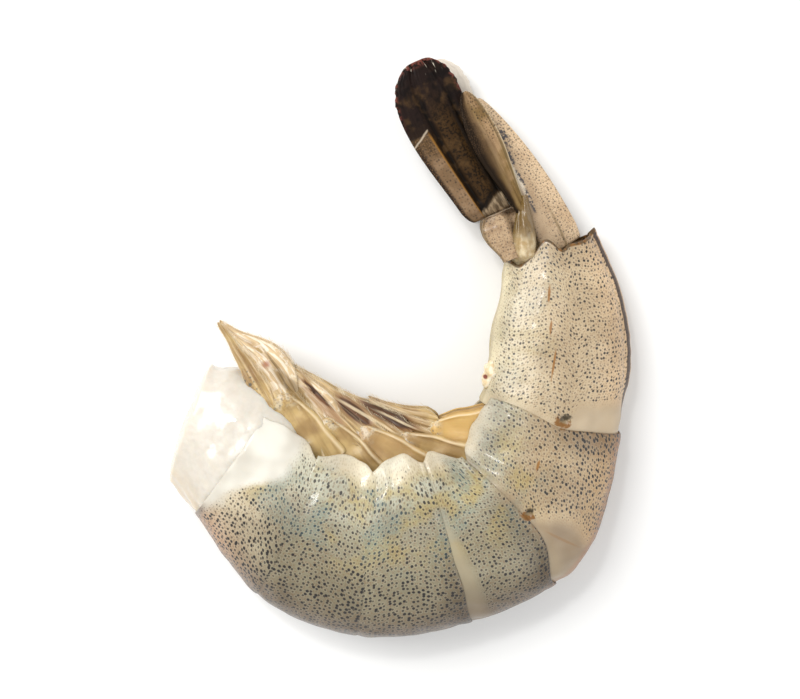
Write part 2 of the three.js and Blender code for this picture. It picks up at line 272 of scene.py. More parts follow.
class Link:
    def __init__(self, finish, socket):
        self.finish, self.socket = finish, socket

    def _maths(self, operation, *values):
        return self.finish.node("ShaderNodeMath", {"operation": operation}, dict(enumerate(values)))

    def __add__(self, other):
        return self._maths("ADD", self, other)

    def __sub__(self, other):
        return self._maths("SUBTRACT", self, other)

    def __rsub__(self, other):
        return self._maths("SUBTRACT", other, self)

    def __mul__(self, other):
        return self._maths("MULTIPLY", self, other)

    def __truediv__(self, other):
        return self._maths("DIVIDE", self, other)

    def __pow__(self, other):
        return self._maths("POWER", self, other)

    __radd__, __rmul__ = __add__, __mul__

    def size(self):
        return self._maths("ABSOLUTE", self)

    def wave(self):
        return self._maths("SINE", self)

    def most(self, other):
        return self._maths("MAXIMUM", self, other)

    def ramp(self, low, high):
        """0 up to low and 1 from high on, smoothly, or the other way round if low is the larger."""
        settings = {"interpolation_type": "SMOOTHSTEP"}
        return self.finish.node("ShaderNodeMapRange", settings, {0: self, 1: low, 2: high})

    def near(self, middle, reach):
        """1 at middle, falling smoothly to 0 at reach from it."""
        return (self - middle).size().ramp(reach, 0.0)

    def output(self, name):
        return Link(self.finish, self.socket.node.outputs[name])


class Finish:
    def __init__(self, name, **constants):
        self.material = bpy.data.materials.new(name)
        self.material.use_nodes = True
        self.tree = self.material.node_tree
        self.surface = self.tree.nodes["Principled BSDF"]
        self.surface.inputs["Subsurface Radius"].default_value = (1.0, 0.75, 0.55)
        for socket, value in constants.items():
            self.surface.inputs[socket.replace("_", " ")].default_value = value

    def node(self, kind, settings=None, inputs=None, output=0):
        made = self.tree.nodes.new(kind)
        for name, value in (settings or {}).items():
            setattr(made, name, value)
        for name, value in (inputs or {}).items():
            if isinstance(value, Link):
                self.tree.links.new(value.socket, made.inputs[name])
            else:
                made.inputs[name].default_value = value
        return Link(self, made.outputs[output])

    def stored(self, attribute):
        return self.node("ShaderNodeAttribute", {"attribute_name": attribute}, output="Vector")

    def parts(self, attribute):
        """The three values of one attribute of the piece."""
        parts = self.node("ShaderNodeSeparateXYZ", inputs={0: self.stored(attribute)})
        return parts, parts.output("Y"), parts.output("Z")

    def space(self):
        return self.node("ShaderNodeTexCoord", output="Object")

    def noise(self, size, detail=2.0, roughness=0.5):
        """Soft noise whose lumps are about size millimetres across."""
        inputs = {"Vector": self.space(), "Scale": 1 / (size * MM), "Detail": detail,
                  "Roughness": roughness}
        return self.node("ShaderNodeTexNoise", inputs=inputs)

    def streaks(self, length, width, detail=2.0):
        """Noise drawn out along the piece, in streaks of this length and width in millimetres."""
        inputs = {0: self.stored("skin"), 1: (1 / length, 1 / width, 0.0)}
        vector = self.node("ShaderNodeVectorMath", {"operation": "MULTIPLY"}, inputs)
        inputs = {"Vector": vector, "Scale": 1.0, "Detail": detail}
        return self.node("ShaderNodeTexNoise", inputs=inputs)

    def dots(self, pitch, disorder=0.8):
        """Distance from the nearest dot's middle and a random number for it, pitch mm apart."""
        inputs = {"Vector": self.stored("skin"), "Scale": 1 / pitch, "Randomness": disorder}
        cells = self.node("ShaderNodeTexVoronoi", {"voronoi_dimensions": "2D"}, inputs)
        random = self.node("ShaderNodeSeparateColor", inputs={0: cells.output("Color")})
        return cells * pitch, random

    def oval(self, middle, heading, length, width):
        """0 at a spot of the prawn seen from above (millimetres), 1 on the edge of an oval there."""
        reach = []
        for turn, size in ((0, length), (90, width)):
            angle = math.radians(heading + turn)
            ahead = (math.cos(angle), math.sin(angle), 0.0)
            settings, inputs = {"operation": "DOT_PRODUCT"}, {0: self.space(), 1: ahead}
            measure = self.node("ShaderNodeVectorMath", settings, inputs, output="Value")
            part = (measure / MM - (middle[0] * ahead[0] + middle[1] * ahead[1])) * (2 / size)
            reach.append(part * part)
        return (reach[0] + reach[1]) ** 0.5

    def ovals(self, rows, ragged, outer, inner):
        """1 inside any of the ovals in rows, 0 outside them all, with ragged edges."""
        depth = None
        for row in rows:
            shown = (self.oval(*row) + (ragged - 0.5) * 0.9).ramp(outer, inner)
            depth = shown if depth is None else depth.most(shown)
        return depth

    def mix(self, share, first, second, blend="MIX"):
        settings = {"data_type": "RGBA", "blend_type": blend}
        return self.node("ShaderNodeMix", settings, {0: share, 6: first, 7: second}, output=2)

    def tint(self, amount, base, factor_colour):
        """Multiplies base by a colour, by amount."""
        return self.mix(amount, base, factor_colour, "MULTIPLY")

    def layers(self, base, *coats):
        """Lays coats over base one after another. Each is a mask and a colour."""
        for mask, over in coats:
            base = self.mix(mask, base, over)
        return base

    def bump(self, height, depth, strength=1.0):
        """Fine relief: height 0 to 1 is worth depth millimetres."""
        inputs = {"Height": height, "Distance": depth * MM, "Strength": strength}
        return self.node("ShaderNodeBump", inputs=inputs)

    def done(self, **sockets):
        for socket, link in sockets.items():
            self.tree.links.new(link.socket, self.surface.inputs[socket.replace("_", " ")])
        return self.material

    def uneven(self, base, relief, roughness, lumps=1.5, spread=0.2):
        """Done, with a roughness that varies by spread, in lumps so many millimetres across."""
        rough = roughness + self.noise(lumps) * spread
        return self.done(Base_Color=base, Roughness=rough, Normal=relief)


WET = {"Coat_Weight": 0.16, "Coat_Roughness": 0.1, "Specular_IOR_Level": 0.36}
print("white in linear light:", colour(255, 255, 255))

# %% [markdown]
# ## The look of the shell
# A tiger prawn's shell is thin and clear over pale flesh. Its colour is in dots: star-shaped cells of
# dark pigment, about a third of a millimetre wide and two thirds of one apart, over a wash of tan on
# the tail and grey-green in the curl. A voronoi pattern gives such dots: the distance to the nearest
# cell's middle is cut off at a radius that is drawn anew for every cell. The wash follows the stored
# place: `t` along the body, the share of the way round from back to belly, and how far a point lies
# behind the line where the dots of its ring begin.

# %% Pigment dots
DOT_DARK, DOT_BROWN, DOT_BLUE = colour(42, 38, 36), colour(126, 96, 68), colour(62, 90, 96)
DOT_HALO = colour(232, 222, 198)


def dotted(finish, base, crowding, sparse, pitch=0.68, strength=0.92, ink=DOT_DARK, halo=0.0):
    """Two sizes of pigment dot over a base colour. crowding widens them, sparse takes them away."""
    fine, fine_random = finish.dots(pitch * 0.55)
    freckles = (fine / pitch - fine_random * 0.15).ramp(0.11, 0.02)
    base = finish.mix(freckles * (1 - sparse) * 0.5, base, DOT_BROWN)
    far, random = finish.dots(pitch, 0.72)
    near = far / pitch
    if halo:
        base = finish.mix(near.near(0.34, 0.16) * (1 - sparse) * halo, base, DOT_HALO)
    radius = 0.13 + random * 0.13 + crowding * 0.1 - sparse * 0.5
    wobble = (finish.noise(pitch * 0.27, 1.0) - 0.5) * 0.14
    shown = (near + wobble - radius).ramp(0.1, -0.07) * (random * 0.55 + 0.45 + crowding * 0.2)
    return finish.mix(shown * strength, base, ink)


print("pigment dots ready")

# %% Shell finish
# From the back over the flank to the belly, for rings 2 to 4, for 1, for 5 and for 6.
WASHES = {
    "curl": (colour(106, 90, 70), colour(138, 131, 107), colour(179, 179, 158)),
    "front": (colour(180, 142, 110), colour(200, 186, 158), colour(206, 202, 182)),
    "fifth": (colour(178, 146, 106), colour(178, 157, 124), colour(148, 147, 124)),
    "last": (colour(212, 182, 144), colour(190, 170, 138), colour(206, 194, 166)),
}
JOINT_PALE, REAR_DARK, RUST = colour(190, 172, 144), colour(150, 132, 112), colour(140, 94, 36)
YELLOW_CLOUD, BLUE_CLOUD = colour(169, 151, 94), colour(132, 142, 128)
CLEAR_WHITE, KEEL_LINE, PIT_SHADE = colour(220, 216, 204), colour(48, 34, 32), colour(38, 32, 16)
ORANGE, RIM_OLIVE = colour(118, 74, 8), colour(74, 54, 24)
# Seen from above: places and reach of the pits where rings 4 and 5 hinge on the next one, and the
# middles, headings, lengths and widths of the scratches on the last ring and the fold behind ring 4.
HINGES = {4: (18.3, -22.6, 0.85), 5: (23.4, -9.6, 1.1)}
SCRATCHES = (((21.3, 8.2), 86, 2.3, 0.4), ((21.5, 3.5), 83, 2.0, 0.38), ((21.9, -1.6), 81, 4.2, 0.34),
             ((19.6, -15.9), 76, 1.5, 0.4))
FOLD = (((23.2, -26.7), -31, 6.5, 0.5),)


def washed(finish, zone, round_share):
    back, flank, belly = WASHES[zone]
    lower = finish.mix(round_share.ramp(0.5, 0.8), flank, belly)
    return finish.mix(round_share.ramp(0.4, 0.12), lower, back)


def shell_finish(name, last_ring):
    finish = Finish(name, Subsurface_Weight=0.1, Subsurface_Scale=0.0008, **WET)
    t, round_share, since = finish.parts("place")
    to_rear = finish.parts("skin")[2]
    patchy = finish.noise(4.5, 3.0)
    if last_ring:
        base = washed(finish, "last", round_share)
    else:
        base = finish.mix(t.ramp(1.1, 0.2), washed(finish, "curl", round_share),
                          washed(finish, "front", round_share))
        base = finish.mix(t.ramp(3.8, 4.05), base, washed(finish, "fifth", round_share))
    # Clouds of yellow and blue-green low on the sides.
    lower = round_share.ramp(0.4, 0.62) * (0.25 if last_ring else t.ramp(4.9, 4.3) * 0.85)
    blue = finish.noise(5.2, 3.0).ramp(0.54, 0.38) * lower
    base = finish.mix(patchy.ramp(0.46, 0.64) * lower, base, YELLOW_CLOUD)
    base = finish.mix(blue * 0.8, base, BLUE_CLOUD)
    # The lower edges of the side plates are whitish.
    low_edge = (round_share + (patchy - 0.5) * 0.14).ramp(0.75, 0.85) * (0.0 if last_ring else 0.75)
    base = finish.mix(low_edge, base, colour(222, 212, 190))
    # Darker towards the rear edge, most on the back.
    rear = to_rear.ramp(5.0, 0.4) * round_share.ramp(0.75, 0.3)
    base = finish.tint(rear * (0.15 if last_ring else t.ramp(1.2, 3.0) * 0.6), base, REAR_DARK)
    # Pale and without dots where a ring has slid out from under the one in front.
    band = (since + (patchy - 0.5) * 0.1).ramp(0.09, -0.05)
    if not last_ring:
        band = band * (t.ramp(2.3, 2.8) * 0.4 + t.ramp(3.4, 3.8) * 0.6)
    base = finish.mix(band * 0.8, base, JOINT_PALE)
    base = finish.tint(band * t.near(4.1, 0.45) * 0.6, base, REAR_DARK)
    slid = (since + (patchy - 0.5) * 0.1).ramp(0.15, -0.05)
    sparse = slid * band.ramp(0.0, 0.1).most(t.near(4.2, 0.4))
    ragged = finish.noise(0.7, 2.0)
    if last_ring:
        keel = round_share.ramp(0.024, 0.012)
        pale_edge = round_share.ramp(0.8, 0.92) * 0.8
        base = finish.mix(pale_edge, base, colour(222, 210, 174))
        sparse = sparse.most(keel).most(pale_edge * 0.5)
    else:
        # The front of the first ring's side is clear, and shows white flesh.
        clear_to = round_share.ramp(0.18, 0.4) * 0.14 + round_share.ramp(0.4, 0.72) * 0.46
        clear = (t + (patchy - 0.5) * 0.2 - clear_to).ramp(0.1, -0.08)
        base = finish.mix(clear, base, CLEAR_WHITE)
        sparse = sparse.most(clear).most(low_edge * 0.8)
        base = finish.mix(t.ramp(0.09, 0.0) * round_share.ramp(0.3, 0.2) * 0.6, base, KEEL_LINE)
        rusty_back = round_share.ramp(0.16, 0.09) * t.ramp(3.2, 4.0) * 0.75
        base = finish.mix(rusty_back, base, colour(144, 92, 44))
    crowding = round_share.ramp(0.62, 0.3) * (0.25 if last_ring else 0.7) + rear * 0.4
    crowding = crowding + (0.0 if last_ring else t.ramp(4.2, 2.4) * 0.3)
    ink = finish.mix(blue * 0.8, DOT_DARK, DOT_BLUE)
    pitch = 0.68 if last_ring else 0.69
    base = dotted(finish, base, crowding, sparse, pitch, ink=ink, halo=0.14)
    base = finish.tint(finish.noise(7.0).ramp(0.35, 0.65) * 0.3, base, REAR_DARK)
    base = finish.mix(finish.ovals(SCRATCHES, ragged, 1.3, 0.6) * 0.9, base, RUST)
    base = finish.mix(finish.ovals(FOLD, ragged, 1.2, 0.4) * 0.35, base, RUST)
    # Where one ring hinges on the next: a pit, darkened with painted shade, with a rusty rim below it.
    uneven = (finish.noise(0.55, 2.0) - 0.5) * 1.6
    for x, y, reach in HINGES.values():
        rim = finish.oval((x - 0.2, y - 0.3), -20, 2.3 * reach, 1.7 * reach) + uneven
        inside = finish.oval((x + 0.1, y + 0.1), 0, 1.5 * reach, 1.4 * reach) + uneven
        pit = finish.oval((x + 0.15, y + 0.4), 0, 1.9 * reach, 1.2 * reach) + uneven
        base = finish.layers(
            base,
            (rim.ramp(1.1, 0.7) * 0.92, ORANGE),
            (inside.ramp(1.0, 0.6) * 0.8, colour(136, 120, 90)),
            (pit.ramp(1.0, 0.4) * 0.85, PIT_SHADE),
        )
    if last_ring:
        line = round_share.near(0.043, 0.03).ramp(0.1, 0.5) * t.ramp(4.8, 5.1)
        base = finish.layers(
            base,
            (keel * 0.85, colour(176, 132, 88)),
            (line * 0.92, KEEL_LINE),
            (round_share.ramp(0.925, 0.95) * 0.5, colour(164, 146, 98)),
        )
        edge = to_rear.ramp(0.55, 0.3)
        base = finish.mix(edge * 0.9, base, finish.mix(ragged.ramp(0.5, 0.64), RIM_OLIVE, ORANGE))
    else:
        edge_dark = to_rear.ramp(0.3, 0.0) * round_share.ramp(0.6, 0.3) * t.ramp(2.6, 3.6)
        base = finish.tint(edge_dark * 0.6, base, REAR_DARK)
    grain = finish.noise(0.5, 3.0)
    return finish.uneven(base, finish.bump(grain, 0.035, 0.6), 0.3, 1.6, 0.22)


shell_dotted = shell_finish("dotted_shell", False)
shell_keeled = shell_finish("keeled_shell", True)
print("shell finishes:", shell_dotted.name, shell_keeled.name)

# %% [markdown]
# ## Shell rings
# Six rings of shell cover the body, each sliding under the one in front of it, so the prawn can curl.
# A ring is an open hoop: it goes over the back and ends in a rounded side plate on each side, with the
# belly left open. It could be one tube with lines drawn on it, but then no edge would catch the light,
# so each ring is a thin plate of its own, with rounded edges and a step where it comes out from under
# its neighbour. Along the back of rings 1 to 5 runs a groove, where a shell is slit to take the vein
# out.

# %% Ring shapes
SHELL = 0.3  # thickness
TUCK = 0.14  # how far a ring goes on under the one in front, in t
STEP, STEP_LENGTH = {0: 0, 1: 0.13, 2: 0.13, 3: 0.24, 4: 0.34, 5: 0.34}, 0.13
REAR_FLARE = 0.03
SIDE_EDGE, SIDE_LOBE, LAST_SIDE_EDGE = 146, 13, 179.9
KEEL = {"height": 0.7, "spread": 10, "from": 4.9}
SPINE = {"reach": 0.07, "spread": 14}
SLIT = {"depth": 0.5, "spread": 2.6}
HANG = {1: 1.2, 2: 2.6, 3: 2.8, 4: 2.4, 5: 1.0, 6: 0.3}  # how far the side plates hang below the body
RING_ROWS, RING_COLUMNS, LAST_RING_MORE_ROWS = 56, 176, 24
HINGE_TURN = 84
# For rounding the edges: millimetres taken for one t, and body heights from the back to a side edge.
MM_PER_T, FLANK_REACH = 10, 1.25
SHELL_ROUNDING, THINNEST = 0.45, 0.12  # reach of the rounding, and the share of thickness left
# At each joint: how far the edge is drawn forward along the back, and how far the pale band reaches
# behind it. Each comes with the turns between which it grows.
DRAWN = {1: (0.05, 95, 30), 2: (0.06, 95, 30), 3: (0.08, 95, 30), 4: (0.32, 88, 25), 5: (0.17, 165, 60)}
PALE = {1: (0.07, 70, 30), 2: (0.09, 75, 35), 3: (0.15, 118, 80), 4: (0.4, 92, 40), 5: (0.23, 86, 68)}


def joint_line(joint, turn):
    """Where the rear edge of a ring runs, ahead of its joint (negative) or behind it."""
    size = np.abs(turn)
    if joint == 0:
        return 0 * size
    if joint == 6:
        spine = SPINE["reach"] * bell(turn, SPINE["spread"])
        lobe = 0.14 * bell(size - 99, 13) - 0.1 * bell(size - 78, 6)
        return spine + lobe - 0.04 * bell(size - 50, 16) - 0.17 * bell(size - 136, 15)
    amount, low, high = DRAWN[joint]
    hinge = -0.03 * bell(size - HINGE_TURN, 14)
    return hinge + 0.03 * smooth(95, 135, size) - amount * smooth(low, high, size)


def pale_line(joint, turn):
    """Where the dots begin again behind a joint."""
    if joint == 0:
        return -0.3 + 0 * turn
    amount, low, high = PALE[joint]
    return joint_line(joint, turn) + amount * smooth(low, high, np.abs(turn)) - 0.02


def ring_out(ring, t, turn):
    """How far out a ring's outer face stands at t and turn."""
    since = t - (ring - 1) - joint_line(ring - 1, turn)
    to_rear = (7 if ring == 6 else ring) + joint_line(ring, turn) - t
    lift = smooth(0.0, STEP_LENGTH, since)
    size = np.abs(turn)
    # The front joints are shallow, most of all low on the sides.
    shallow = (0.45 if ring < 5 else 0.15) * smooth(50, 110, size)
    out = -STEP[ring - 1] * (1 - lift) * (1 - shallow) + REAR_FLARE * smooth(0.3, 0, to_rear)
    out = out - (0.07 * bell(to_rear - 0.11, 0.03) + 0.08 * bell(since - 0.3, 0.08)) * (ring > 2)
    place = skin_point(t, turn, 0.0)
    for joint, (x, y, reach) in HINGES.items():
        if ring in (joint, joint + 1):
            away = np.hypot(place[..., 0] - x, place[..., 1] - y) / reach
            out = out + 0.26 * bell(away - 0.95, 0.4) - 0.4 * bell(away, 0.5)
    if ring == 6:
        keel = KEEL["height"] * bell(turn, KEEL["spread"]) * smooth(KEEL["from"], 5.4, t)
        crease = -0.2 * bell(size - 16, 4) * smooth(5.1, 5.5, t)
        return out + keel + crease
    return out - SLIT["depth"] * bell(turn, SLIT["spread"]) + 0.14 * bell(size - 6, 2.5)


def shell_ring(ring):
    rows = RING_ROWS + (LAST_RING_MORE_ROWS if ring == 6 else 0)
    share = crowded(rows)[:, None]
    across = 2 * crowded(RING_COLUMNS, 0.35)[None, :] - 1
    lobe = SIDE_LOBE * np.sin(math.pi * share) ** 1.5
    edge = LAST_SIDE_EDGE + 0 * share if ring == 6 else SIDE_EDGE + lobe
    turn = edge * across
    front = 0 * turn if ring == 1 else ring - 1 - TUCK + joint_line(ring - 1, turn)
    rear = (7 if ring == 6 else ring) + joint_line(ring, turn)
    t = front + (rear - front) * share
    middle = skin_point(t, turn, 0.0)
    swell = 0.10 * ripple(middle, 9.0, 3) + 0.045 * ripple(middle, 3.2, 4)
    out = ring_out(ring, t, turn) + swell
    # About how far a point is from the nearest edge, in millimetres, for rounding the edges.
    around = along("height", t) * FLANK_REACH
    to_edge = np.minimum((rear - t) * MM_PER_T, (1 - np.abs(across)) * around)
    to_edge = np.minimum(to_edge, (t - front) * MM_PER_T)
    half = SHELL / 2 * np.maximum(rounded(to_edge, SHELL_ROUNDING), THINNEST)
    hang = HANG[ring] * smooth(118, 156, np.abs(turn)) * (1 + 0.12 * ripple(middle, 4.5, 6))
    cos, sin = cos_sin(along("back", t))
    hanging = np.stack([cos * hang, sin * hang, 0 * hang], -1)
    outer = skin_point(t, turn, out - SHELL / 2 + half) - hanging
    inner = skin_point(t, turn, out - SHELL / 2 - half) - hanging
    points, faces = plate_mesh(outer, inner)
    place = (t, np.abs(turn) / 180, t - (ring - 1) - pale_line(ring - 1, turn))
    down, across_mm = measured(middle)
    half_way = np.abs(across_mm[:, [int(np.argmin(np.abs(turn[rows // 2] - 90)))]])
    across_mm = across_mm - np.sign(across_mm) * half_way
    finish = shell_keeled if ring == 6 else shell_dotted
    skin = (down + 80 * ring, across_mm, down[-1:] - down)
    piece = new_mesh(f"dotted_ring_{ring}", points, faces, place, skin, finish)
    add_piece(piece, "shell", f"shell_ring_{ring}")


print("rear edge of ring 4 on the back:", round(float(joint_line(4, 0.0)), 2), "of a ring")

# %% Make the rings
for ring in range(1, 7):
    shell_ring(ring)

# %% [markdown]
# ## Flesh
# The flesh fills the rings and stands out of the first one, where the head was taken off. It is white,
# wet and a little see-through, so its material scatters light under the surface. The cut is slanted
# and shows the ends of the muscle: two thick bundles under the back and a thinner one below, with
# fine creases round them and a dark spot near the back, where the vein runs.

# %% Flesh finish
FLESH_WHITE, FLESH_MOTTLE_AND_SHADE, VEIN = colour(214, 207, 195), colour(201, 194, 179), colour(96, 74, 56)


def flesh_finish():
    finish = Finish("wet_flesh", Subsurface_Weight=0.55, Subsurface_Scale=0.0022, Coat_Weight=0.7)
    finish.surface.inputs["Coat Roughness"].default_value = 0.06
    t, round_share, cut = finish.parts("place")
    base = finish.mix(finish.noise(5.0, 3.0).ramp(0.35, 0.65) * 0.2, FLESH_WHITE, FLESH_MOTTLE_AND_SHADE)
    base = finish.mix(round_share.ramp(0.35, 0.1) * 0.6, base, colour(214, 192, 156))
    creases = finish.noise(0.9, 3.0, 0.6)
    # Painted shade: darker in the dips of the creases.
    base = finish.tint(creases.ramp(0.6, 0.4) * 0.1, base, FLESH_MOTTLE_AND_SHADE)
    base = finish.mix(cut.ramp(1.5, 2.0) * 0.8, base, VEIN)
    base = finish.mix(t.ramp(0.2, 0.8) * 0.8, base, colour(206, 180, 132))
    roughness = 0.22 + creases * 0.2
    ropes = finish.noise(3.0, 1.0) * 2.0 + finish.noise(1.5, 1.0)
    relief = finish.bump(creases * 0.4 + ropes, 0.2, 0.4)
    return finish.done(Base_Color=base, Roughness=roughness, Normal=relief)


wet_flesh = flesh_finish()
print("flesh finish:", wet_flesh.name)

# %% Flesh shape
CUT = {"middle": -0.58, "slant": 0.22, "dome": 0.09}
FLESH_END = 6.78
FLESH_BELLY = 0.86  # its belly side inside the middle rings, as a share of the half height
FLESH_LOWEST = 0.15  # height above the table
FLESH_ROWS, FLESH_COLUMNS, CUT_RINGS = 150, 128, 34


def flesh_depth(t):
    """How far under the skin the flesh lies: deep inside the rings, and swollen in the stub."""
    return 0.5 - 0.1 * smooth(-0.25, 0, t) + 1.1 * smooth(0.15, 0.6, t)


def flesh_point(t, turn, scale):
    half_height, half_width = along("height", t) / 2, along("width", t) / 2
    depth = flesh_depth(t)
    c, s = cos_sin(turn)
    belly = 0.76 + 0.24 * smooth(-0.8, -0.5, t) + 0.2 * smooth(-0.7, -0.3, t) * smooth(0.9, 0.3, t)
    belly = belly - (1 - FLESH_BELLY) * smooth(0.3, 1.0, t) * smooth(5.4, 4.6, t)
    belly = belly - 0.02 * smooth(4.6, 5.4, t)
    low = half_height * belly * np.sign(c) * np.abs(c) ** 0.8
    up = np.where(c > 0, (half_height - depth) * c, low)
    side = (half_width - depth) * np.sign(s) * np.abs(s) ** np.where(c > 0, 1.0, 0.9)
    return body_point(t, up * scale, side * scale, depth + 0.05)


def flesh():
    turn = np.linspace(0, 360, FLESH_COLUMNS, endpoint=False)[None, :]
    c, s = cos_sin(turn)
    scale = np.sin(np.linspace(0.06, 1, CUT_RINGS) * math.pi / 2)[:, None]
    rise = CUT["dome"] * np.sqrt(1 - scale**2 * 0.999)
    cut_t = CUT["middle"] + CUT["slant"] * c * scale - rise
    body_t = np.linspace(CUT["middle"] + 0.03, FLESH_END, FLESH_ROWS)[:, None]
    slant = CUT["slant"] * (1 - smooth(CUT["middle"], 0.9, body_t))
    t = np.concatenate([cut_t, body_t + slant * c])
    ones = np.ones((FLESH_ROWS, 1))
    closing = np.sqrt(np.clip(1 - ((body_t - FLESH_END + 0.35) / 0.36).clip(0, 1) ** 2, 0.02, 1))
    scale = np.concatenate([scale, ones * closing])
    # On the cut, creases part the muscle bundles; along the stub, the muscle runs in soft ropes.
    on_cut = np.concatenate([np.ones((CUT_RINGS, 1)), 0 * ones])
    up, side = c * scale, s * scale
    between = bell(side, 0.07) * smooth(-0.3, 0.1, up)
    bundles = np.maximum(between, bell(up + 0.28 - 0.3 * side**2, 0.06))
    whorls = 0.5 + 0.5 * np.cos(13 * np.hypot(side, up - 0.25) + 3 * side)
    sink = on_cut * (0.05 * bundles + 0.012 * whorls) * smooth(0.98, 0.7, scale)
    points = flesh_point(t + sink, turn + 0 * t, scale)
    ropes = np.cos(np.radians(turn) * 9 + 1.5 * np.sin(t * 2.1)) * smooth(0.3, -0.2, t) * (1 - on_cut)
    bumps = 0.26 * np.abs(ripple(points, 7.0, 11)) + 0.07 * ripple(points, 2.2, 12) - 0.15
    outwards = points - body_point(t, 0 * t, 0 * t)
    outwards /= np.linalg.norm(outwards, axis=-1, keepdims=True) + 1e-9
    points = points + outwards * ((0.07 * ropes + bumps * smooth(0.3, 0.9, scale)) * 0.8)[..., None]
    points[..., 2] = np.maximum(points[..., 2], FLESH_LOWEST)
    vein = on_cut * 2 * bell(np.hypot(side, up - 0.72), 0.055)
    place = (t, np.abs(((turn + 180) % 360) - 180) / 180, vein)
    faces = tube_faces(*t.shape)
    piece = new_mesh("prawn_flesh", points.reshape(-1, 3), faces, place, (t, 0, 0), wet_flesh)
    add_piece(piece, "flesh", "flesh")


flesh()

# %% [markdown]
# ## Tail fan
# Behind the last ring the prawn has a fan of five blades: the telson in the middle, roof-shaped and
# ending in a point, and on each side a pair of flat blades on a short stem. Here the fan is folded, so
# the blades lie on each other like roof tiles. The outer blade is the one to look at: a stiff tan strip
# along its outer edge, and the rest dark and ribbed, with a ragged tip. Each blade is one plate, whose
# ribs and troughs are part of its shape. The wet, bright end of the stem is a plate of its own.

# %% Blade shapes
FAN_HEIGHT = 4.5
LEFT_FAN_TURN = {"left_outer_blade": 5, "left_inner_blade": 1.5}
TELSON = {
    "root": (23.8, 15.2), "tip": (10.9, 36.5), "bow": 0.8, "width": 6.2, "root_share": 0.95,
    "full_at": 0.1, "tip_power": 1.2, "tip_share": 0.1, "eaves": 2.2, "ridge": 1.7, "thickness": 0.9,
}
TAIL_STEM = {
    "root": (16.8, 13.9), "tip": (14.2, 20.4), "bow": 0, "width": 6.7, "root_share": 0.62,
    "full_at": 0.6, "tip_power": 2.5, "tip_share": 0.55, "spread": 3.35, "fall": 0.02, "arch": 0.2,
    "thickness": 1.5,
}
INNER_BLADE = {
    "root": (17.7, 20.4), "tip": (9.1, 37.5), "bow": -0.2, "width": 4.4, "root_share": 0.42,
    "full_at": 0.6, "tip_power": 2.2, "tip_share": 0.1, "spread": 3.1, "fall": 0.2, "arch": 0.2,
    "thickness": 0.6,
}
OUTER_BLADE = {
    "root": (12.4, 19.6), "tip": (2.3, 41.8), "bow": -0.8, "width": 9.7, "root_share": 0.56,
    "inner_share": 0.8, "full_at": 0.74, "tip_power": 2.3, "tip_share": 0.2, "spread": 2.9,
    "fall": 0.3, "arch": 0.2, "thickness": 0.7, "dip": 0.7,
}
# The wet, bright end of the stem, which carries the inner blade.
STEM_TOP = {
    "root": (17.9, 12.8), "tip": (17.7, 22.8), "bow": 0, "width": 3.5, "root_share": 1.0,
    "full_at": 0.25, "tip_power": 6.0, "tip_share": 0.8, "waist": 0.55, "spread": 3.6, "fall": 0.05,
    "arch": 0.7, "thickness": 0.8, "sink": 1.6, "tip_sink": 1.1,
}
BLADE_ROWS, BLADE_COLUMNS = 90, 56
LEFT_SHORTER = 0.97  # length of the left outer and inner blades against the right ones
BLADE_LENGTH = 22  # millimetres taken for every blade when its ends are rounded


def blade_width(size, share):
    widening = size["root_share"] + (1 - size["root_share"]) * smooth(0, size["full_at"], share)
    past = np.maximum(share - size["full_at"], 0) / (1 - size["full_at"])
    rounding = (1 - np.clip(past, 0, 1) ** size["tip_power"]) ** 0.6
    return widening * (size["tip_share"] + (1 - size["tip_share"]) * rounding)


def blade_spot(size, share, out, turned=0.0):
    """A place in a blade's own plane: share along it, out across it towards the back."""
    root, tip = np.array(size["root"], float), np.array(size["tip"], float)
    cos, sin = math.cos(-turned), math.sin(-turned)
    axis = np.array([[cos, -sin], [sin, cos]]) @ (tip - root)
    across = np.array([axis[1], -axis[0]]) / np.linalg.norm(axis)
    share, out = np.broadcast_arrays(share, out)
    bow = size["bow"] * 4 * share * (1 - share)
    return root + share[..., None] * axis + (out + bow)[..., None] * across + np.array(CENTRE_SHIFT)


def blade_grid():
    """Shares along a blade, and places across it from -1 to 1."""
    return crowded(BLADE_ROWS)[:, None], 2 * crowded(BLADE_COLUMNS)[None, :] - 1


def from_edge(share, c, half):
    """About how far a place on a blade is from the nearest edge, in millimetres."""
    return np.minimum((1 - np.abs(c)) * half, np.minimum(share, 1 - share) * BLADE_LENGTH)


def strip_edge(share):
    """Where the outer blade's stiff strip ends, across the blade."""
    return -0.08 - 0.52 * share


def outer_relief(share, c):
    """Ribs and troughs of the outer blade, in millimetres."""
    past_strip = c - strip_edge(share)
    strip = smooth(0.05, -0.05, past_strip) * smooth(0.61, 0.57, share)
    ridge = 0.4 * bell(past_strip, 0.06) * smooth(0.65, 0.5, share)
    troughs = -0.45 * bell(past_strip - 0.2, 0.1) - 0.45 * bell(past_strip - 1.06, 0.1)
    rib = 0.35 * bell(past_strip - 0.62, 0.24) * smooth(1.0, 0.7, share)
    fine = 0.03 * np.sin(c * 46 + 3 * share) * smooth(0.1, 0.3, share)
    return 0.15 * strip + ridge + (troughs + rib + fine * (1 - strip)) * smooth(0.02, 0.15, share)


def inner_relief(share, c):
    rim = 0.3 * bell(c - 0.72, 0.12) + 0.12 * bell(c + 0.2, 0.2)
    return rim - 0.25 * bell(c - 0.4, 0.14) - 0.15 * bell(c + 0.55, 0.16) + 0.03 * np.sin(c * 40)


def stem_relief(share, c):
    return 0.3 * bell(c + 0.35, 0.3) - 0.9 * smooth(0.72, 1.0, share) - 1.6 * smooth(0.05, 0.5, c)


def stem_top_relief(share, c):
    return 0.25 * bell(c - 0.1, 0.35) - 0.2 * bell(c + 0.55, 0.15) + 0.08 * np.sin(8 * c + 15 * share)


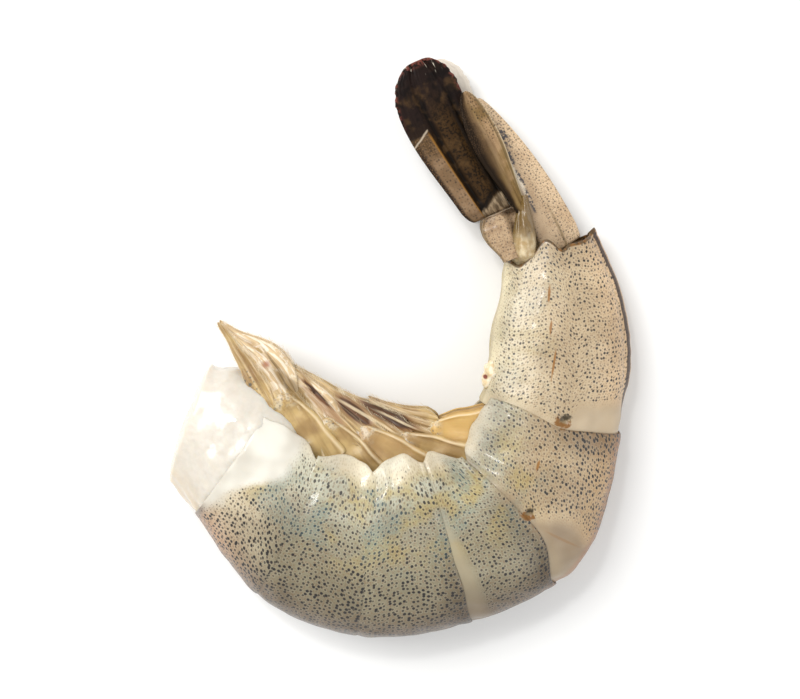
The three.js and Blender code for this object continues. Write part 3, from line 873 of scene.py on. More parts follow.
def side_blade(name, size, hand, relief, finish, slot, node):
    turned = math.radians(LEFT_FAN_TURN.get(node, 0))
    share, c = blade_grid()
    half = size["width"] / 2 * blade_width(size, share)
    half = half * (1 - size.get("waist", 0) * smooth(0.3, 1, share))
    ragged = 1
    if "inner_share" in size:
        wider = size["width"] / 2 * blade_width({**size, "root_share": size["inner_share"]}, share)
        half = np.where(c > 0, wider, half * (0.6 + 0.4 * rounded(share, 0.1)))
        frayed = 0.02 * np.sin(share * 71) + 0.015 * np.sin(share * 173)
        ragged = 1 + frayed * smooth(0.7, 0.85, share)
    shorter = LEFT_SHORTER if node in LEFT_FAN_TURN else 1.0
    spot = blade_spot(size, share * shorter + 0 * c, c * half * ragged, turned)
    thickness = size["thickness"] * (1 - 0.4 * share) * (1 - 0.35 * c * c)
    to_edge = from_edge(share, c, half)
    thickness = thickness * np.maximum(rounded(to_edge, 0.35), 0.1)
    side = size["spread"] - size["fall"] * c * half + size["arch"] * (1 - c * c)
    side = side - size.get("sink", 0) * smooth(0.16, 0.0, share)
    side = side - size.get("tip_sink", 0) * smooth(0.5, 1, share)
    side = side - size.get("dip", 0) * smooth(0.08, 0, share)
    side = side + relief(share, c) * smooth(0.0, 0.5, to_edge)
    side = side + 0.08 * ripple(np.concatenate([spot, spot[..., :1] * 0], -1), 7.0, 21)
    faces_z = [FAN_HEIGHT + hand * (side + sign * thickness / 2) for sign in (1, -1)]
    upper, lower = (np.concatenate([spot, np.maximum(z, 0.0)[..., None]], -1) for z in faces_z)
    points, faces = plate_mesh(upper, lower)
    down, across = measured(upper)
    piece = new_mesh(name, points, faces, (share, c, hand), (down, across, 0), finish)
    add_piece(piece, slot, node)


def telson():
    size = TELSON
    share, c = blade_grid()
    half = size["width"] / 2 * blade_width(size, share)
    to_edge = from_edge(share, c, half)
    thickness = size["thickness"] * np.maximum(rounded(to_edge, 0.4), 0.12)
    groove = 0.35 * bell(c, 0.1) * smooth(0.05, 0.2, share) - 0.22 * bell(np.abs(c) - 0.2, 0.1)
    side_groove = 0.28 * bell(np.abs(c) - 0.78, 0.06)
    faces_at = []
    for depth in (0.0, 1.0):
        fall = 2 * half * np.abs(c) ** size["ridge"]
        mid_shift = (0.5 - 0.5 * thickness / size["thickness"]) * (1 - 2 * depth)
        down = (depth + mid_shift) * size["thickness"] * (1 - 0.6 * c * c)
        grooves = (groove + side_groove) * (1 - depth)
        spot = blade_spot(size, share + 0 * c, half - fall - down - grooves)
        eaves = size["eaves"] * blade_width(size, share)
        eaves = eaves - 0.5 * (depth + mid_shift) * size["thickness"]
        faces_at.append(np.concatenate([spot, (FAN_HEIGHT + c * eaves)[..., None]], -1))
    points, faces = plate_mesh(*faces_at)
    down, across = measured(faces_at[0])
    piece = new_mesh("tail_roof", points, faces, (share, c, 0), (down + 40, across, 0), tail_tan)
    add_piece(piece, "tail", "telson")


print("width of the outer blade:", OUTER_BLADE["width"], "mm")

# %% [markdown]
# ## The look of the fan
# The tail's colours run along the blades, so its materials read the share along a blade and the place
# across it. The tan parts carry the same dots as the shell. The dark parts are nearly black at the tip,
# with brown ribs, and their rim is frayed and rusty.

# %% Tail finishes
TAIL_TAN, TAIL_GREY = colour(208, 182, 148), colour(176, 152, 122)
BLADE_BROWN = colour(128, 102, 66)
RIB_BROWN, TIP_RED, MEMBRANE = colour(92, 68, 40), colour(110, 62, 52), colour(226, 216, 196)
OLIVE, SPOT_BLUE = colour(104, 86, 48), colour(52, 54, 62)
# Seen from above: the row of dark blotches along the edge of the telson.
BLUE_SMUDGES = (((15.0, 30.6), -63, 3.5, 0.8), ((15.9, 27.4), -70, 2.6, 0.7),
                ((17.4, 24.4), -60, 3.0, 0.5), ((18.8, 21.3), -65, 3.4, 0.6))


def tan_finish():
    finish = Finish("tail_tan", Subsurface_Weight=0.1, Subsurface_Scale=0.001, **WET)
    share, c = finish.parts("place")[:2]
    edge = c.size()
    base = finish.mix(edge.ramp(0.3, 0.9), TAIL_TAN, TAIL_GREY)
    base = finish.tint(finish.noise(3.0).ramp(0.4, 0.7) * 0.3, base, TAIL_GREY)
    base = finish.mix(edge.near(0.86, 0.1) * share.ramp(0.3, 0.45) * 0.8, base, MEMBRANE)
    smudges = finish.ovals(BLUE_SMUDGES, finish.noise(0.8, 2.0), 1.5, 0.7)
    smudges = smudges * finish.noise(0.5, 2.0).ramp(0.42, 0.56)
    base = finish.mix(edge.near(0.6, 0.05) * share.ramp(0.35, 0.1) * 0.7, base, OLIVE)
    base = finish.mix(edge.ramp(0.95, 1.0) * 0.7, base, OLIVE)
    base = dotted(finish, base, edge * 0.3, edge.near(0.84, 0.16) * 0.7, 0.48, 0.72)
    base = finish.mix(smudges * 0.9, base, SPOT_BLUE)
    return finish.uneven(base, finish.bump(finish.noise(0.4, 3.0), 0.04, 0.6), 0.3)


def stem_finish():
    finish = Finish("tail_stem", Subsurface_Weight=0.2, Subsurface_Scale=0.001, **WET)
    share, c = finish.parts("place")[:2]
    soft = finish.noise(2.0, 3.0)
    base = finish.mix(soft.ramp(0.4, 0.65), colour(180, 154, 122), colour(156, 130, 100))
    base = finish.mix((share + (soft - 0.5) * 0.3).ramp(0.85, 1.0) * 0.5, base, colour(182, 166, 146))
    base = finish.mix(c.ramp(-0.8, -0.95) * 0.7, base, OLIVE)
    base = dotted(finish, base, c * 0, c * 0, 0.56, 0.6)
    return finish.uneven(base, finish.bump(finish.noise(0.5, 3.0), 0.06, 0.8), 0.22)


def stem_top_finish():
    finish = Finish("tail_stem_top", Subsurface_Weight=0.2, Subsurface_Scale=0.001, Coat_Weight=0.25)
    share, c = finish.parts("place")[:2]
    wrinkles = finish.noise(1.6, 3.0, 0.6)
    base = finish.mix(wrinkles.ramp(0.35, 0.65), colour(168, 142, 98), colour(208, 192, 158))
    base = finish.layers(
        base,
        ((share + (wrinkles - 0.5) * 0.3).ramp(0.3, 0.55), colour(116, 92, 52)),
        (c.ramp(-0.6, -0.95) * 0.7, OLIVE),
        (c.ramp(0.7, 0.95) * 0.5, OLIVE),
    )
    return finish.uneven(base, finish.bump(wrinkles, 0.3, 0.8), 0.18)


def inner_finish():
    finish = Finish("inner_blade", Specular_IOR_Level=0.08, Coat_Weight=0.02, Coat_Roughness=0.15)
    share, c, hand = finish.parts("place")
    soft = finish.noise(2.2, 3.0)
    base = finish.mix((soft + share * 0.3).ramp(0.45, 0.85), colour(128, 104, 66),
                      colour(166, 138, 104))
    streaks = finish.streaks(5.0, 0.5, 3.0)
    base = finish.tint(streaks.ramp(0.4, 0.7) * 0.35, base, BLADE_BROWN)
    left_dark = (c * -1 + (soft - 0.5) * 0.9 - (share - 0.55).size() * 0.5).ramp(-0.4, 0.3)
    base = finish.layers(
        base,
        (left_dark * 0.85, colour(60, 42, 24)),
        ((c * -1 + (soft - 0.5) * 0.6).ramp(0.2, 0.7) * 0.9, colour(22, 15, 9)),
        (c.near(0.8, 0.1) * 0.8, OLIVE),
        (c.ramp(0.9, 0.97) * 0.7, colour(206, 190, 158)),
    )
    base = dotted(finish, base, share * 0.3, share.ramp(0.62, 0.5).most(left_dark * 0.7), 0.5, 0.7)
    base = finish.mix(hand.ramp(0.5, -0.5) * 0.85, base, MEMBRANE)
    return finish.uneven(base, finish.bump(streaks, 0.05, 0.7), 0.32)


def outer_finish():
    finish = Finish("outer_blade", Specular_IOR_Level=0.08, Coat_Weight=0.02, Coat_Roughness=0.15)
    share, c, hand = finish.parts("place")
    past_strip = c + 0.08 + share * 0.52
    strip = past_strip.ramp(0.02, -0.02) * share.ramp(0.595, 0.58)
    ridge = past_strip.near(0.0, 0.06) * share.ramp(0.62, 0.55)
    streaks = finish.streaks(3.5, 0.3, 3.0)
    grain = finish.noise(0.35, 2.0)
    soft = finish.noise(1.8, 3.0)
    rib = past_strip.near(0.62, 0.44).ramp(0.05, 0.5) * share.ramp(0.86, 0.6)
    lines = past_strip.near(0.2, 0.13).most(past_strip.near(1.06, 0.14)) * share.ramp(0.86, 0.7)
    dark = finish.mix(share.ramp(0.45, 0.75), colour(40, 28, 16), colour(32, 22, 19))
    dark = finish.layers(
        dark,
        (rib * (0.55 + soft * 0.4), colour(62, 43, 21)),
        (rib * grain.ramp(0.52, 0.44) * 0.9, colour(26, 18, 10)),
        # Painted nearly black along the two troughs: partly the blade's own dark lines, partly painted
        # shade.
        (lines * 0.9, colour(12, 8, 5)),
        (soft.ramp(0.5, 0.7) * 0.4 * share.ramp(0.97, 0.8), RIB_BROWN),
        (finish.noise(1.3, 3.0).ramp(0.56, 0.36) * share.ramp(0.6, 0.7) * 0.7, colour(14, 10, 9)),
        (finish.streaks(2.4, 0.5).ramp(0.62, 0.7) * share.ramp(0.88, 0.95), MEMBRANE),
    )
    pale_left = hand.ramp(0.5, -0.5) * share.ramp(0.6, 0.75)
    dark = finish.mix(pale_left, dark, colour(212, 203, 190))
    root_end = share + (past_strip - 1.0).size() * 0.09 + (soft - 0.5) * 0.06
    dark = finish.mix(root_end.near(0.135, 0.03) * 0.8, dark, colour(12, 8, 5))
    wrinkled = finish.mix(finish.streaks(2.0, 0.5).ramp(0.35, 0.6), colour(176, 154, 124),
                          colour(104, 88, 68))
    dark = finish.mix(root_end.ramp(0.125, 0.1) * 0.9, dark, wrinkled)
    tan = finish.mix(soft.ramp(0.35, 0.65), colour(142, 118, 92), colour(120, 97, 72))
    tan = finish.mix((c + (soft - 0.5) * 0.15).ramp(-0.72, -0.92), tan, colour(40, 30, 22))
    tan = finish.mix((share + (soft - 0.5) * 0.2).ramp(0.38, 0.56) * 0.75, tan, colour(74, 56, 34))
    tan = dotted(finish, finish.tint(grain * 0.4, tan, TAIL_GREY), c * 0, c * 0, 0.56, 0.6)
    base = finish.mix(strip, dark, tan)
    base = finish.mix(ridge * (0.5 + soft * 0.6), base, colour(140, 98, 42))
    joint = (share - past_strip * 0.1 + soft * 0.02).near(0.615, 0.01) * past_strip.ramp(0.05, 0.0)
    rim = c.size().ramp(0.86, 0.99).most(share.ramp(0.95, 0.99)) * share.ramp(0.6, 0.85)
    base = finish.mix(rim * finish.noise(0.8).ramp(0.42, 0.55) * hand.ramp(-0.5, 0.5), base, TIP_RED)
    base = finish.mix(joint * (0.5 + soft * 0.5), base, colour(190, 174, 152))
    return finish.uneven(base, finish.bump(streaks, 0.1, 0.9), 0.36)


tail_tan, tail_stem, stem_bright = tan_finish(), stem_finish(), stem_top_finish()
inner_brown, outer_dark = inner_finish(), outer_finish()
print("tail finishes made")

# %% Make the fan
telson()
for side, hand in (("right", 1), ("left", -1)):
    node = f"{side}_tail_stem"
    side_blade(f"{side}_fan_stem", TAIL_STEM, hand, stem_relief, tail_stem, "tail", node)
    side_blade(f"{side}_fan_stem_top", STEM_TOP, hand, stem_top_relief, stem_bright, "tail", node)
    side_blade(f"{side}_small_fan", INNER_BLADE, hand, inner_relief, inner_brown, "tail",
               f"{side}_inner_blade")
    side_blade(f"{side}_large_fan", OUTER_BLADE, hand, outer_relief, outer_dark, "tail_dark",
               f"{side}_outer_blade")

# %% [markdown]
# ## Swimmerets
# Five pairs of paddles hang under the rings. On this prawn they lie folded towards the cut end, the
# front pairs longest. Each is a flat stalk that carries a sheaf of three blades, all thin, yellowish
# and streaked along their length, with a fringe of fine hairs that comes later.

# %% Swimmeret finish
PADDLE_YELLOW, PADDLE_TAN = colour(188, 160, 106), colour(160, 130, 84)
PADDLE_BROWN, PADDLE_HOLLOW_SHADE = colour(106, 62, 24), colour(42, 23, 6)
PADDLE_PALE, PADDLE_PINK = colour(220, 200, 164), colour(156, 120, 86)
# Seen from above: the middle, heading, length and width of the painted shade in the hollows of the
# folded mat, and of the painted highlights on the ridges that cross it.
OLIVE_HOLLOW_SHADE = (((-15.6, -5.2), -46, 8.5, 1.9), ((-17.2, -3.0), -52, 9.0, 0.5))
BROWN_HOLLOW_SHADE = (((-6.6, -8.8), -38, 6.5, 2.1), ((-1.7, -9.3), -27, 9.5, 2.4),
                 ((-12.0, -6.2), -44, 6, 0.7))
RIDGE_HIGHLIGHTS = (((-4.9, -9.4), -30, 10.5, 0.5), ((-3.0, -7.9), -19, 12, 0.6), ((-0.6, -10.0), -24, 7, 0.4),
          ((-14.4, -4.6), -33, 3.4, 0.4))
PINK_FIBRES = ((-11.0, -7.9), -46, 13, 2.0)


def stalk_finish():
    finish = Finish("paddle_stalk", Subsurface_Weight=0.3, Subsurface_Scale=0.001, **WET)
    share, c, pair = finish.parts("place")
    base = finish.mix(finish.noise(3.4, 3.0).ramp(0.4, 0.65), PADDLE_YELLOW, PADDLE_TAN)
    base = finish.tint(finish.streaks(8.0, 0.9).ramp(0.45, 0.7) * 0.3, base, PADDLE_TAN)
    base = finish.layers(
        base,
        (pair.near(0.6, 0.1) * 0.5, colour(186, 150, 98)),
        (pair.near(1.0, 0.1) * 0.6, colour(206, 166, 94)),
        # Painted highlight on the raised rims, over their paler edge.
        (c.size().near(0.88, 0.1) * 0.7, PADDLE_PALE),
    )
    knob = share.ramp(0.74, 0.88)
    # Painted highlights: whitish glints on the knob at the joint.
    base = finish.mix(knob * finish.noise(1.0, 2.0).ramp(0.42, 0.6) * 0.5, base, colour(210, 202, 182))
    speckled = (knob * 0.8).most(pair.ramp(0.5, 0.2) * c.ramp(-0.3, 0.6))
    base = dotted(finish, base, share * 0 + 0.2, 1 - speckled, 0.8, 0.6, colour(70, 80, 84))
    relief = finish.bump(finish.streaks(4.0, 0.8) + finish.noise(1.2) * knob * 2, 0.1, 0.7)
    return finish.uneven(base, relief, 0.26, 1.4)


def paddle_finish():
    finish = Finish("paddle", Subsurface_Weight=0.15, Subsurface_Scale=0.0008, Coat_Weight=0.06)
    share, sheaf, pair = finish.parts("place")
    c = finish.parts("skin")[2]
    streaks = finish.streaks(12.0, 0.4, 3.0)
    fibres = finish.streaks(7.0, 0.12, 2.0)
    ridges = (sheaf * 13.0 + streaks * 2.0).wave() * 0.5 + 0.5
    base = finish.mix(finish.noise(3.0, 3.0).ramp(0.4, 0.6), PADDLE_YELLOW, PADDLE_TAN)
    # Painted shade in the valleys between the ribs and painted light on their tops, over the blades'
    # stripes.
    base = finish.mix(ridges.ramp(0.45, 0.0) * 0.5, base, colour(158, 130, 80))
    base = finish.mix(ridges.ramp(0.7, 1.0) * 0.3, base, PADDLE_PALE)
    upper = sheaf.ramp(0.1, -0.4) * pair.ramp(0.7, 0.3)
    base = finish.mix(upper * 0.75, base, colour(212, 186, 146))
    # Painted highlights: whitish glints on the folds of the pale upper blades.
    fold_highlights = finish.streaks(3.0, 0.5).ramp(0.48, 0.6).most(finish.noise(1.1, 3.0).ramp(0.54, 0.64))
    base = finish.layers(
        base,
        (upper * fold_highlights * 0.7, colour(240, 230, 212)),
        ((finish.oval(*PINK_FIBRES) + streaks).ramp(1.5, 1.0) * 0.8, PADDLE_PINK),
        (streaks.ramp(0.5, 0.66) * 0.35, PADDLE_BROWN),
        (fibres.ramp(0.52, 0.66) * 0.3, PADDLE_PALE),
    )
    # Painted shade in the hollows between the folded blades: olive and brown, nearly black where
    # deepest.
    olive = finish.ovals(OLIVE_HOLLOW_SHADE, streaks, 1.3, 0.6)
    base = finish.mix(olive * 0.8, base, colour(128, 100, 52))
    brown = finish.ovals(BROWN_HOLLOW_SHADE, streaks, 1.35, 0.7)
    base = finish.mix(brown * 0.95, base, PADDLE_BROWN)
    deep = (brown.most(olive * 0.8) + streaks * 1.2 - 0.6).ramp(0.7, 1.1)
    base = finish.layers(
        base,
        (deep * 0.8, PADDLE_HOLLOW_SHADE),
        # Painted highlights along the ridges that cross the mat.
        (finish.ovals(RIDGE_HIGHLIGHTS, streaks, 1.3, 0.5) * 0.7, PADDLE_PALE),
        (finish.oval((-19.2, -2.0), 0, 1.6, 1.4).ramp(1.1, 0.2) * 0.7, colour(150, 78, 48)),
        (c.size().ramp(0.85, 1.0) * 0.25, PADDLE_PALE),
    )
    speckled = pair.ramp(0.5, 0.2) * sheaf.ramp(0.2, 0.7) * share.ramp(0.6, 0.4)
    base = dotted(finish, base, share * 0 + 0.3, 1 - speckled, 0.9, 0.8, colour(62, 72, 74))
    return finish.uneven(base, finish.bump(streaks + fibres * 0.5, 0.1, 0.8), 0.36, 1.4)


stalk_tan, paddle = stalk_finish(), paddle_finish()
print("swimmeret finishes made")

# %% Swimmeret shape
# From the front pair to the last: the place of the root, how far it is from the plane between the
# right and left ones, the length, the width, and the headings at the root and the tip.
SWIMMERETS = {
    "t": (0.69, 1.62, 2.58, 3.54, 4.5), "side": (3.5, 3.7, 3.6, 3.7, 2.8),
    "length": (21.9, 22.6, 21.4, 18.6, 16.0), "width": (6.0, 5.6, 5.2, 4.8, 4.2),
    "root_heading": (121, 126, 143, 158, 183), "tip_heading": (130, 132, 135, 140, 148),
}
SWIMMERET = {"root_belly": 0.98, "plane": 8.2, "side_tip": 0.5, "thickness": 0.4, "left_turn": -0.5}
# The parts of one swimmeret: the span of its length, its place across the sheaf and its half width,
# both as shares of the sheaf's half width, and how far it lies raised and is tilted.
STALK = {"span": (-0.2, 0.4), "ends": (4.2, 1.5), "full": 3.4, "at": 0.45, "lift": -0.1, "tilt": 0.06}
BLADES = {
    "long": {"span": (0.32, 1.0), "across": 0.5, "reach": 0.5, "lift": 0.3, "tilt": -0.12},
    "middle": {"span": (0.31, 0.985), "across": 0.0, "reach": 0.5, "lift": 0.0, "tilt": 0.12},
    "short": {"span": (0.3, 0.97), "across": -0.6, "reach": 0.6, "lift": -0.35, "tilt": 0.2},
}
PADDLE_ROWS, PADDLE_COLUMNS = 64, 26


def swimmeret_line(size, hand, at):
    """Places and headings along a swimmeret's middle line. Shares below 0 lie inside the body."""
    share = np.linspace(-0.3, 1, 261)
    lean = SWIMMERET["left_turn"] if hand < 0 else 0
    bend = (size["tip_heading"] - size["root_heading"]) * smooth(0.1, 0.8, share)
    heading = np.radians(size["root_heading"] + lean + bend)
    step = size["length"] * (share[1] - share[0])
    root = body_point(size["t"], -SWIMMERET["root_belly"] * along("height", size["t"]) / 2, 0.0)
    lines = []
    for k, ahead in enumerate((np.cos(heading), np.sin(heading))):
        line = np.cumsum(ahead) * step
        lines.append(np.interp(at, share, line - np.interp(0, share, line) + root[k]))
    return lines[0], lines[1], np.interp(at, share, heading)


def paddle_plate(pair, hand, part):
    """One flat part of a swimmeret: its two grids of points, and its places."""
    size = {name: row[pair - 1] for name, row in SWIMMERETS.items()}
    own = crowded(PADDLE_ROWS)
    share = part["span"][0] + (part["span"][1] - part["span"][0]) * own
    x, y, heading = swimmeret_line(size, hand, share)
    ends = np.maximum(rounded(np.minimum(own, 1 - own) * 10, 1.0), 0.2)
    c = 2 * crowded(PADDLE_COLUMNS)[None, :] - 1
    if part is STALK:
        first, last = part["ends"]
        shape = np.where(own < part["at"], first + (part["full"] - first) * smooth(0, part["at"], own),
                         last + (part["full"] - last) * smooth(1, part["at"], own) ** 0.8)
        half, sheaf = (shape * size["width"] / 5.4 * ends)[:, None], c
        out = c * half
    else:
        whole = size["width"] / 2 * (1 - 0.8 * smooth(0.4, 1, share)) + 0.1
        half = (part["reach"] * whole * ends * (0.6 + 0.4 * smooth(0, 0.25, own)))[:, None]
        sheaf = part["across"] + part["reach"] * c
        curl = 0.12 * np.sin(own * 5 + pair * 2.1) * smooth(1, 0.8, own)
        out = c * half + (part["across"] * whole * (1 - 0.8 * smooth(0.75, 1, share)) + curl)[:, None]
        if pair == 1:
            out = out - 0.6 * (1 - c) * (part["across"] < -0.3) * bell(share - 0.62, 0.2)[:, None]
    px = x[:, None] - np.sin(heading)[:, None] * out
    py = y[:, None] + np.cos(heading)[:, None] * out
    side = size["side"] + (SWIMMERET["side_tip"] - size["side"]) * share.clip(0, 1)
    side = side[:, None] + part["lift"] + part["tilt"] * c * half
    if part is STALK:
        ribs = 0.25 * bell(np.abs(c) - 0.86, 0.09) - 0.2 * bell(c, 0.5)
        ribs = ribs + 0.7 * bell(np.hypot((own[:, None] - 0.88) * 8, c), 0.8)
    else:
        ribs = 0.12 * np.sin(sheaf * 13 + pair) + 0.02 * np.sin(c * 24 + 3 * own[:, None])
    side = side + ribs * smooth(0, 0.5, (1 - np.abs(c)) * half)
    thickness = SWIMMERET["thickness"] * np.maximum(rounded((1 - np.abs(c)) * half, 0.25), 0.15)
    grids = []
    for sign in (1, -1):
        z = SWIMMERET["plane"] + hand * (side + sign * thickness / 2)
        grids.append(np.stack([px, py, z], -1))
    bend = 0.12 * ripple(grids[0], 3.5, 40 + pair)
    for grid in grids:
        grid[..., 2] += bend
    return grids, (own[:, None], sheaf, pair / 5), c


def swimmeret(pair, hand):
    side = "right" if hand > 0 else "left"
    edges = []
    for name, part in (("stalk", STALK), *BLADES.items()):
        grids, place, c = paddle_plate(pair, hand, part)
        points, faces = plate_mesh(*grids)
        down, across = measured(grids[0])
        skin = (down + 30 * pair, across + 9 * hand + 40 * part.get("across", 0), c)
        finish = stalk_tan if part is STALK else paddle
        piece = new_mesh(f"{side}_{name}_{pair}", points, faces, place, skin, finish)
        add_piece(piece, "swimmeret", f"{side}_swimmeret_{pair}")
        if part is not STALK:
            edges.append(grids[0])
    return edges


blade_grids = []
for hand in (1, -1):
    for pair in range(1, 6):
        blade_grids += swimmeret(pair, hand)
print("blades to fringe:", len(blade_grids))

# %% [markdown]
# ## A bud on the belly
# Behind the last swimmeret a small wet bud of tissue stands out between the side plates. It is a ball
# of points, drawn out and dented by ripples like those of the shell.

# %% Belly bud
BUD = {"middle": (13.0, -3.7, 8.6), "radii": (1.3, 2.0, 1.2), "spot": (12.3, -3.9)}
BUD_ROWS, BUD_COLUMNS = 16, 32


def bud_finish():
    finish = Finish("bud", Subsurface_Weight=0.4, Subsurface_Scale=0.001, **WET)
    base = finish.mix(finish.noise(1.2).ramp(0.4, 0.6), colour(214, 192, 152), colour(232, 220, 196))
    spot = finish.oval(BUD["spot"], 0, 0.8, 0.8).ramp(1.1, 0.5)
    return finish.done(Base_Color=finish.mix(spot, base, colour(120, 58, 40)))


def belly_bud():
    turn = np.linspace(0, 2 * math.pi, BUD_COLUMNS, endpoint=False)[None, :]
    rise = (crowded(BUD_ROWS)[1:-1, None] - 0.5) * math.pi
    x, y, z = np.cos(rise) * np.cos(turn), np.cos(rise) * np.sin(turn), np.sin(rise)
    ball = np.stack(np.broadcast_arrays(x, y, z), -1)
    points = np.array(BUD["middle"]) + ball * BUD["radii"]
    points = points + ball * (0.25 * ripple(points, 2.0, 31))[..., None]
    faces = tube_faces(*points.shape[:2])
    piece = new_mesh("belly_bud", points.reshape(-1, 3), faces, (0, 0, 0), (0, 0, 0), bud_finish())
    add_piece(piece, "flesh")


belly_bud()

# %% [markdown]
# ## Fringes by Geometry Nodes
# The blades of the swimmerets are fringed with fine hairs. Thousands of hairs by hand would be
# hopeless, and this is what Geometry Nodes are for. The edge of each blade goes in as a line of points
# that also hold the way out of the blade. The tree puts a thin cone on points along the line, turns it
# that way with a little disorder, makes it real and gives it its finish. The cones are open at the
# root, and each cone's middle sits on the edge of the blade.

# %% Hair tree
def hair_tree(finish):
    tree = bpy.data.node_groups.new("edge_hairs", "GeometryNodeTree")
    socket = tree.interface.new_socket
    socket("Geometry", in_out="INPUT", socket_type="NodeSocketGeometry")
    kinds = {"Spacing": "Float", "Length": "Float", "Thickness": "Float", "Seed": "Int"}
    for name, kind in kinds.items():
        socket(name, in_out="INPUT", socket_type=f"NodeSocket{kind}")
    socket("Geometry", in_out="OUTPUT", socket_type="NodeSocketGeometry")

    def node(kind, settings=None, **inputs):
        made = tree.nodes.new(kind)
        for name, value in (settings or {}).items():
            setattr(made, name, value)
        for name, value in inputs.items():
            target = made.inputs[int(name[1:])] if name[0] == "_" else made.inputs[name]
            if isinstance(value, bpy.types.NodeSocket):
                tree.links.new(value, target)
            else:
                target.default_value = value
        return made

    given = node("NodeGroupInput").outputs
    curve = node("GeometryNodeMeshToCurve", Mesh=given["Geometry"])
    points = node("GeometryNodeResampleCurve", {"mode": "LENGTH"}, Curve=curve.outputs[0],
                  Length=given["Spacing"])
    cone = node("GeometryNodeMeshCone", {"fill_type": "NONE"}, Vertices=4)
    tree.links.new(given["Thickness"], cone.inputs["Radius Bottom"])
    tree.links.new(given["Length"], cone.inputs["Depth"])
    cone.inputs["Radius Top"].default_value = 0.00001
    cone.inputs["Side Segments"].default_value = 3
    outwards = node("GeometryNodeInputNamedAttribute", {"data_type": "FLOAT_VECTOR"}, Name="outwards")
    vector_draw = {"data_type": "FLOAT_VECTOR"}
    stray = node("FunctionNodeRandomValue", vector_draw, _0=(-0.5, -0.5, -0.3), _1=(0.5, 0.5, 0.3),
                 Seed=given["Seed"])
    heading = node("ShaderNodeVectorMath", {"operation": "ADD"}, _0=outwards.outputs[0],
                   _1=stray.outputs[0])
    turn = node("FunctionNodeAlignRotationToVector", {"axis": "Z"}, Vector=heading.outputs[0])
    size = node("FunctionNodeRandomValue", {"data_type": "FLOAT"}, _2=0.45, _3=1.1, Seed=given["Seed"])
    hairs = node("GeometryNodeInstanceOnPoints", Points=points.outputs[0], Instance=cone.outputs[0],
                 Rotation=turn.outputs[0], Scale=size.outputs[1])
    real = node("GeometryNodeRealizeInstances", Geometry=hairs.outputs[0])
    dressed = node("GeometryNodeSetMaterial", Geometry=real.outputs[0], Material=finish)
    out = tree.nodes.new("NodeGroupOutput")
    tree.links.new(dressed.outputs[0], out.inputs[0])
    return tree


def hair_finish(name, light, dark, patch):
    finish = Finish(name, Roughness=0.5, Subsurface_Weight=0.2, Subsurface_Scale=0.001)
    base = finish.mix(finish.noise(patch, 2.0).ramp(0.4, 0.6), light, dark)
    return finish.done(Base_Color=base)


# %% Grow the fringes
HAIR_LEAN = 2.2  # how strongly the hairs lean towards the tip of the blade


def grow_fringe(name, edges, finish, slot, spacing, length, thickness, seed):
    """edges: pairs of (points, ways out) in millimetres, one pair for each fringed edge."""
    points, lines, ways = [], [], []
    for line, outwards in edges:
        start = len(points)
        points += (line * MM).tolist()
        ways += outwards.tolist()
        lines += [(start + k, start + k + 1) for k in range(len(line) - 1)]
    mesh = bpy.data.meshes.new(name)
    mesh.from_pydata(points, lines, [])
    store(mesh, "outwards", ways)
    source = show(bpy.data.objects.new(name + "_lines", mesh))
    tree = hair_tree(finish)
    grown = source.modifiers.new("hairs", "NODES")
    grown.node_group = tree
    sizes = {"Spacing": spacing * MM, "Length": length * MM, "Thickness": thickness * MM, "Seed": seed}
    for item in tree.interface.items_tree:
        if item.in_out == "INPUT" and item.name in sizes:
            grown[item.identifier] = sizes[item.name]
    graph = bpy.context.evaluated_depsgraph_get()
    real = bpy.data.meshes.new_from_object(source.evaluated_get(graph))
    bpy.data.objects.remove(source)
    real.name = name
    add_piece(show(bpy.data.objects.new(name, real)), slot)


def unit(ways):
    return ways / (np.linalg.norm(ways, axis=1, keepdims=True) + 1e-6)


def grid_edge(grid, column, first, last):
    """The line of points along one side of a blade's grid, with the ways out of the blade."""
    rows = grid.shape[0]
    picked = slice(int(first * rows), int(last * rows))
    line = grid[picked, column]
    inside = grid[picked, grid.shape[1] // 2]
    forward = np.gradient(grid[:, grid.shape[1] // 2], axis=0)[picked]
    return line, unit(line - inside) + HAIR_LEAN * unit(forward)


pale_hair = hair_finish("pale_hair", colour(236, 222, 190), colour(205, 176, 130), 2.0)
paddle_edges = [grid_edge(grid, side, 0.12, 0.99) for grid in blade_grids for side in (0, -1)]
grow_fringe("paddle_fringe", paddle_edges, pale_hair, "swimmeret", 0.2, 0.8, 0.02, 5)

# %% [markdown]
# ## Floor, light and camera
# A prawn on a plain white table, lit by a large soft lamp from the upper left, a weaker one from
# the lower right, a small one for glints, and a bright room. The camera has a long lens and looks
# down on the prawn's right side, leaning a little towards its tail.

# %% Floor
def floor_finish():
    finish = Finish("table", Roughness=0.6, Specular_IOR_Level=0.2)
    base = finish.mix(finish.noise(60.0) * 0.5, colour(244, 244, 243), colour(239, 239, 238))
    return finish.done(Base_Color=base)


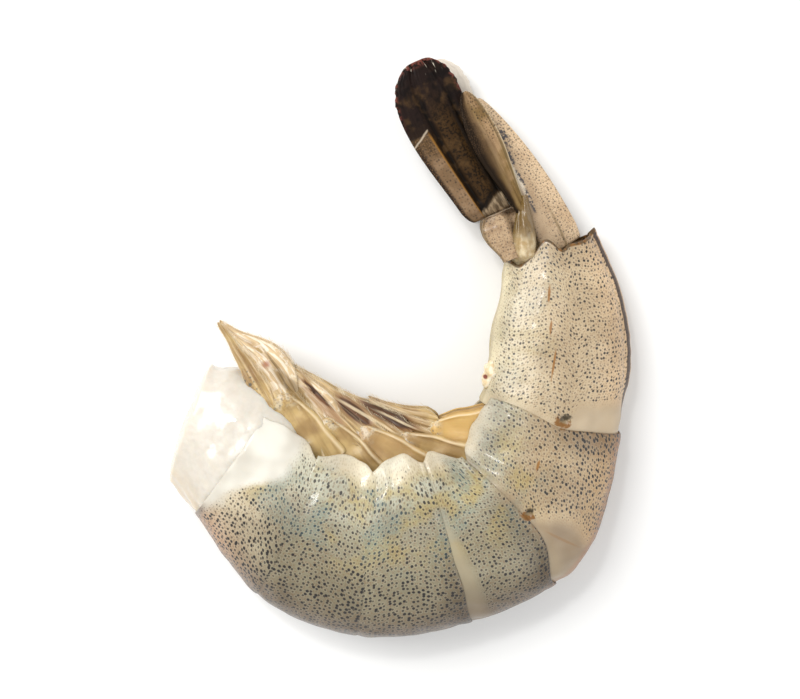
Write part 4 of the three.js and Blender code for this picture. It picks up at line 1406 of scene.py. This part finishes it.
FLOOR_HALF = 2.0
floor_mesh = bpy.data.meshes.new("table_top")
corners = [(x * FLOOR_HALF, y * FLOOR_HALF, 0) for x, y in ((-1, -1), (1, -1), (1, 1), (-1, 1))]
floor_mesh.from_pydata(corners, [], [(0, 1, 2, 3)])
floor_mesh.materials.append(floor_finish())
table_top = show(bpy.data.objects.new("table_top", floor_mesh))
print("table top:", 2 * FLOOR_HALF, "m across")

# %% Lamps
def lamp(name, place, size, power, tone=(1.0, 1.0, 1.0)):
    data = bpy.data.lights.new(name, "AREA")
    data.shape, data.size, data.energy, data.color = "DISK", size, power, tone
    made = bpy.data.objects.new(name, data)
    made.location = place
    aim = Vector((0, 0, 0)) - Vector(place)
    made.rotation_mode = "QUATERNION"
    made.rotation_quaternion = aim.to_track_quat("-Z", "Y")
    show(made)


lamp("soft_key", (-0.30, 0.28, 0.45), 0.40, 2.6, (1.0, 0.99, 0.97))
lamp("low_fill", (0.40, -0.20, 0.35), 0.50, 0.8, (0.97, 0.98, 1.0))
lamp("glint", (-0.10, 0.22, 0.45), 0.05, 0.35)
world = bpy.data.worlds.new("bright_room")
world.use_nodes = True
world.node_tree.nodes["Background"].inputs["Color"].default_value = (1.0, 1.0, 1.0, 1.0)
world.node_tree.nodes["Background"].inputs["Strength"].default_value = 0.72
bpy.context.scene.world = world
bpy.context.scene.view_settings.view_transform = "Standard"
print("lamps and room ready")

# %% Camera
LENS, SENSOR = 85.0, 36.0
PICTURE = (800, 699)
FILL = 0.84  # the prawn's share of the picture's height
LEAN = 7.0  # degrees


def make_camera():
    low, high = cad_box
    size = high - low
    middle = (low + high) / 2
    data = bpy.data.cameras.new("camera")
    data.lens, data.sensor_width = LENS, SENSOR
    made = bpy.data.objects.new("camera", data)
    wide = size.y / FILL * PICTURE[0] / PICTURE[1]
    distance = wide * LENS / SENSOR
    lean = math.radians(LEAN)
    away = Vector((0, math.sin(lean), math.cos(lean)))
    made.location = middle + away * distance
    made.rotation_euler = (-lean, 0, 0)
    bpy.context.scene.camera = show(made)
    return distance


print("camera distance:", round(make_camera(), 3), "m")
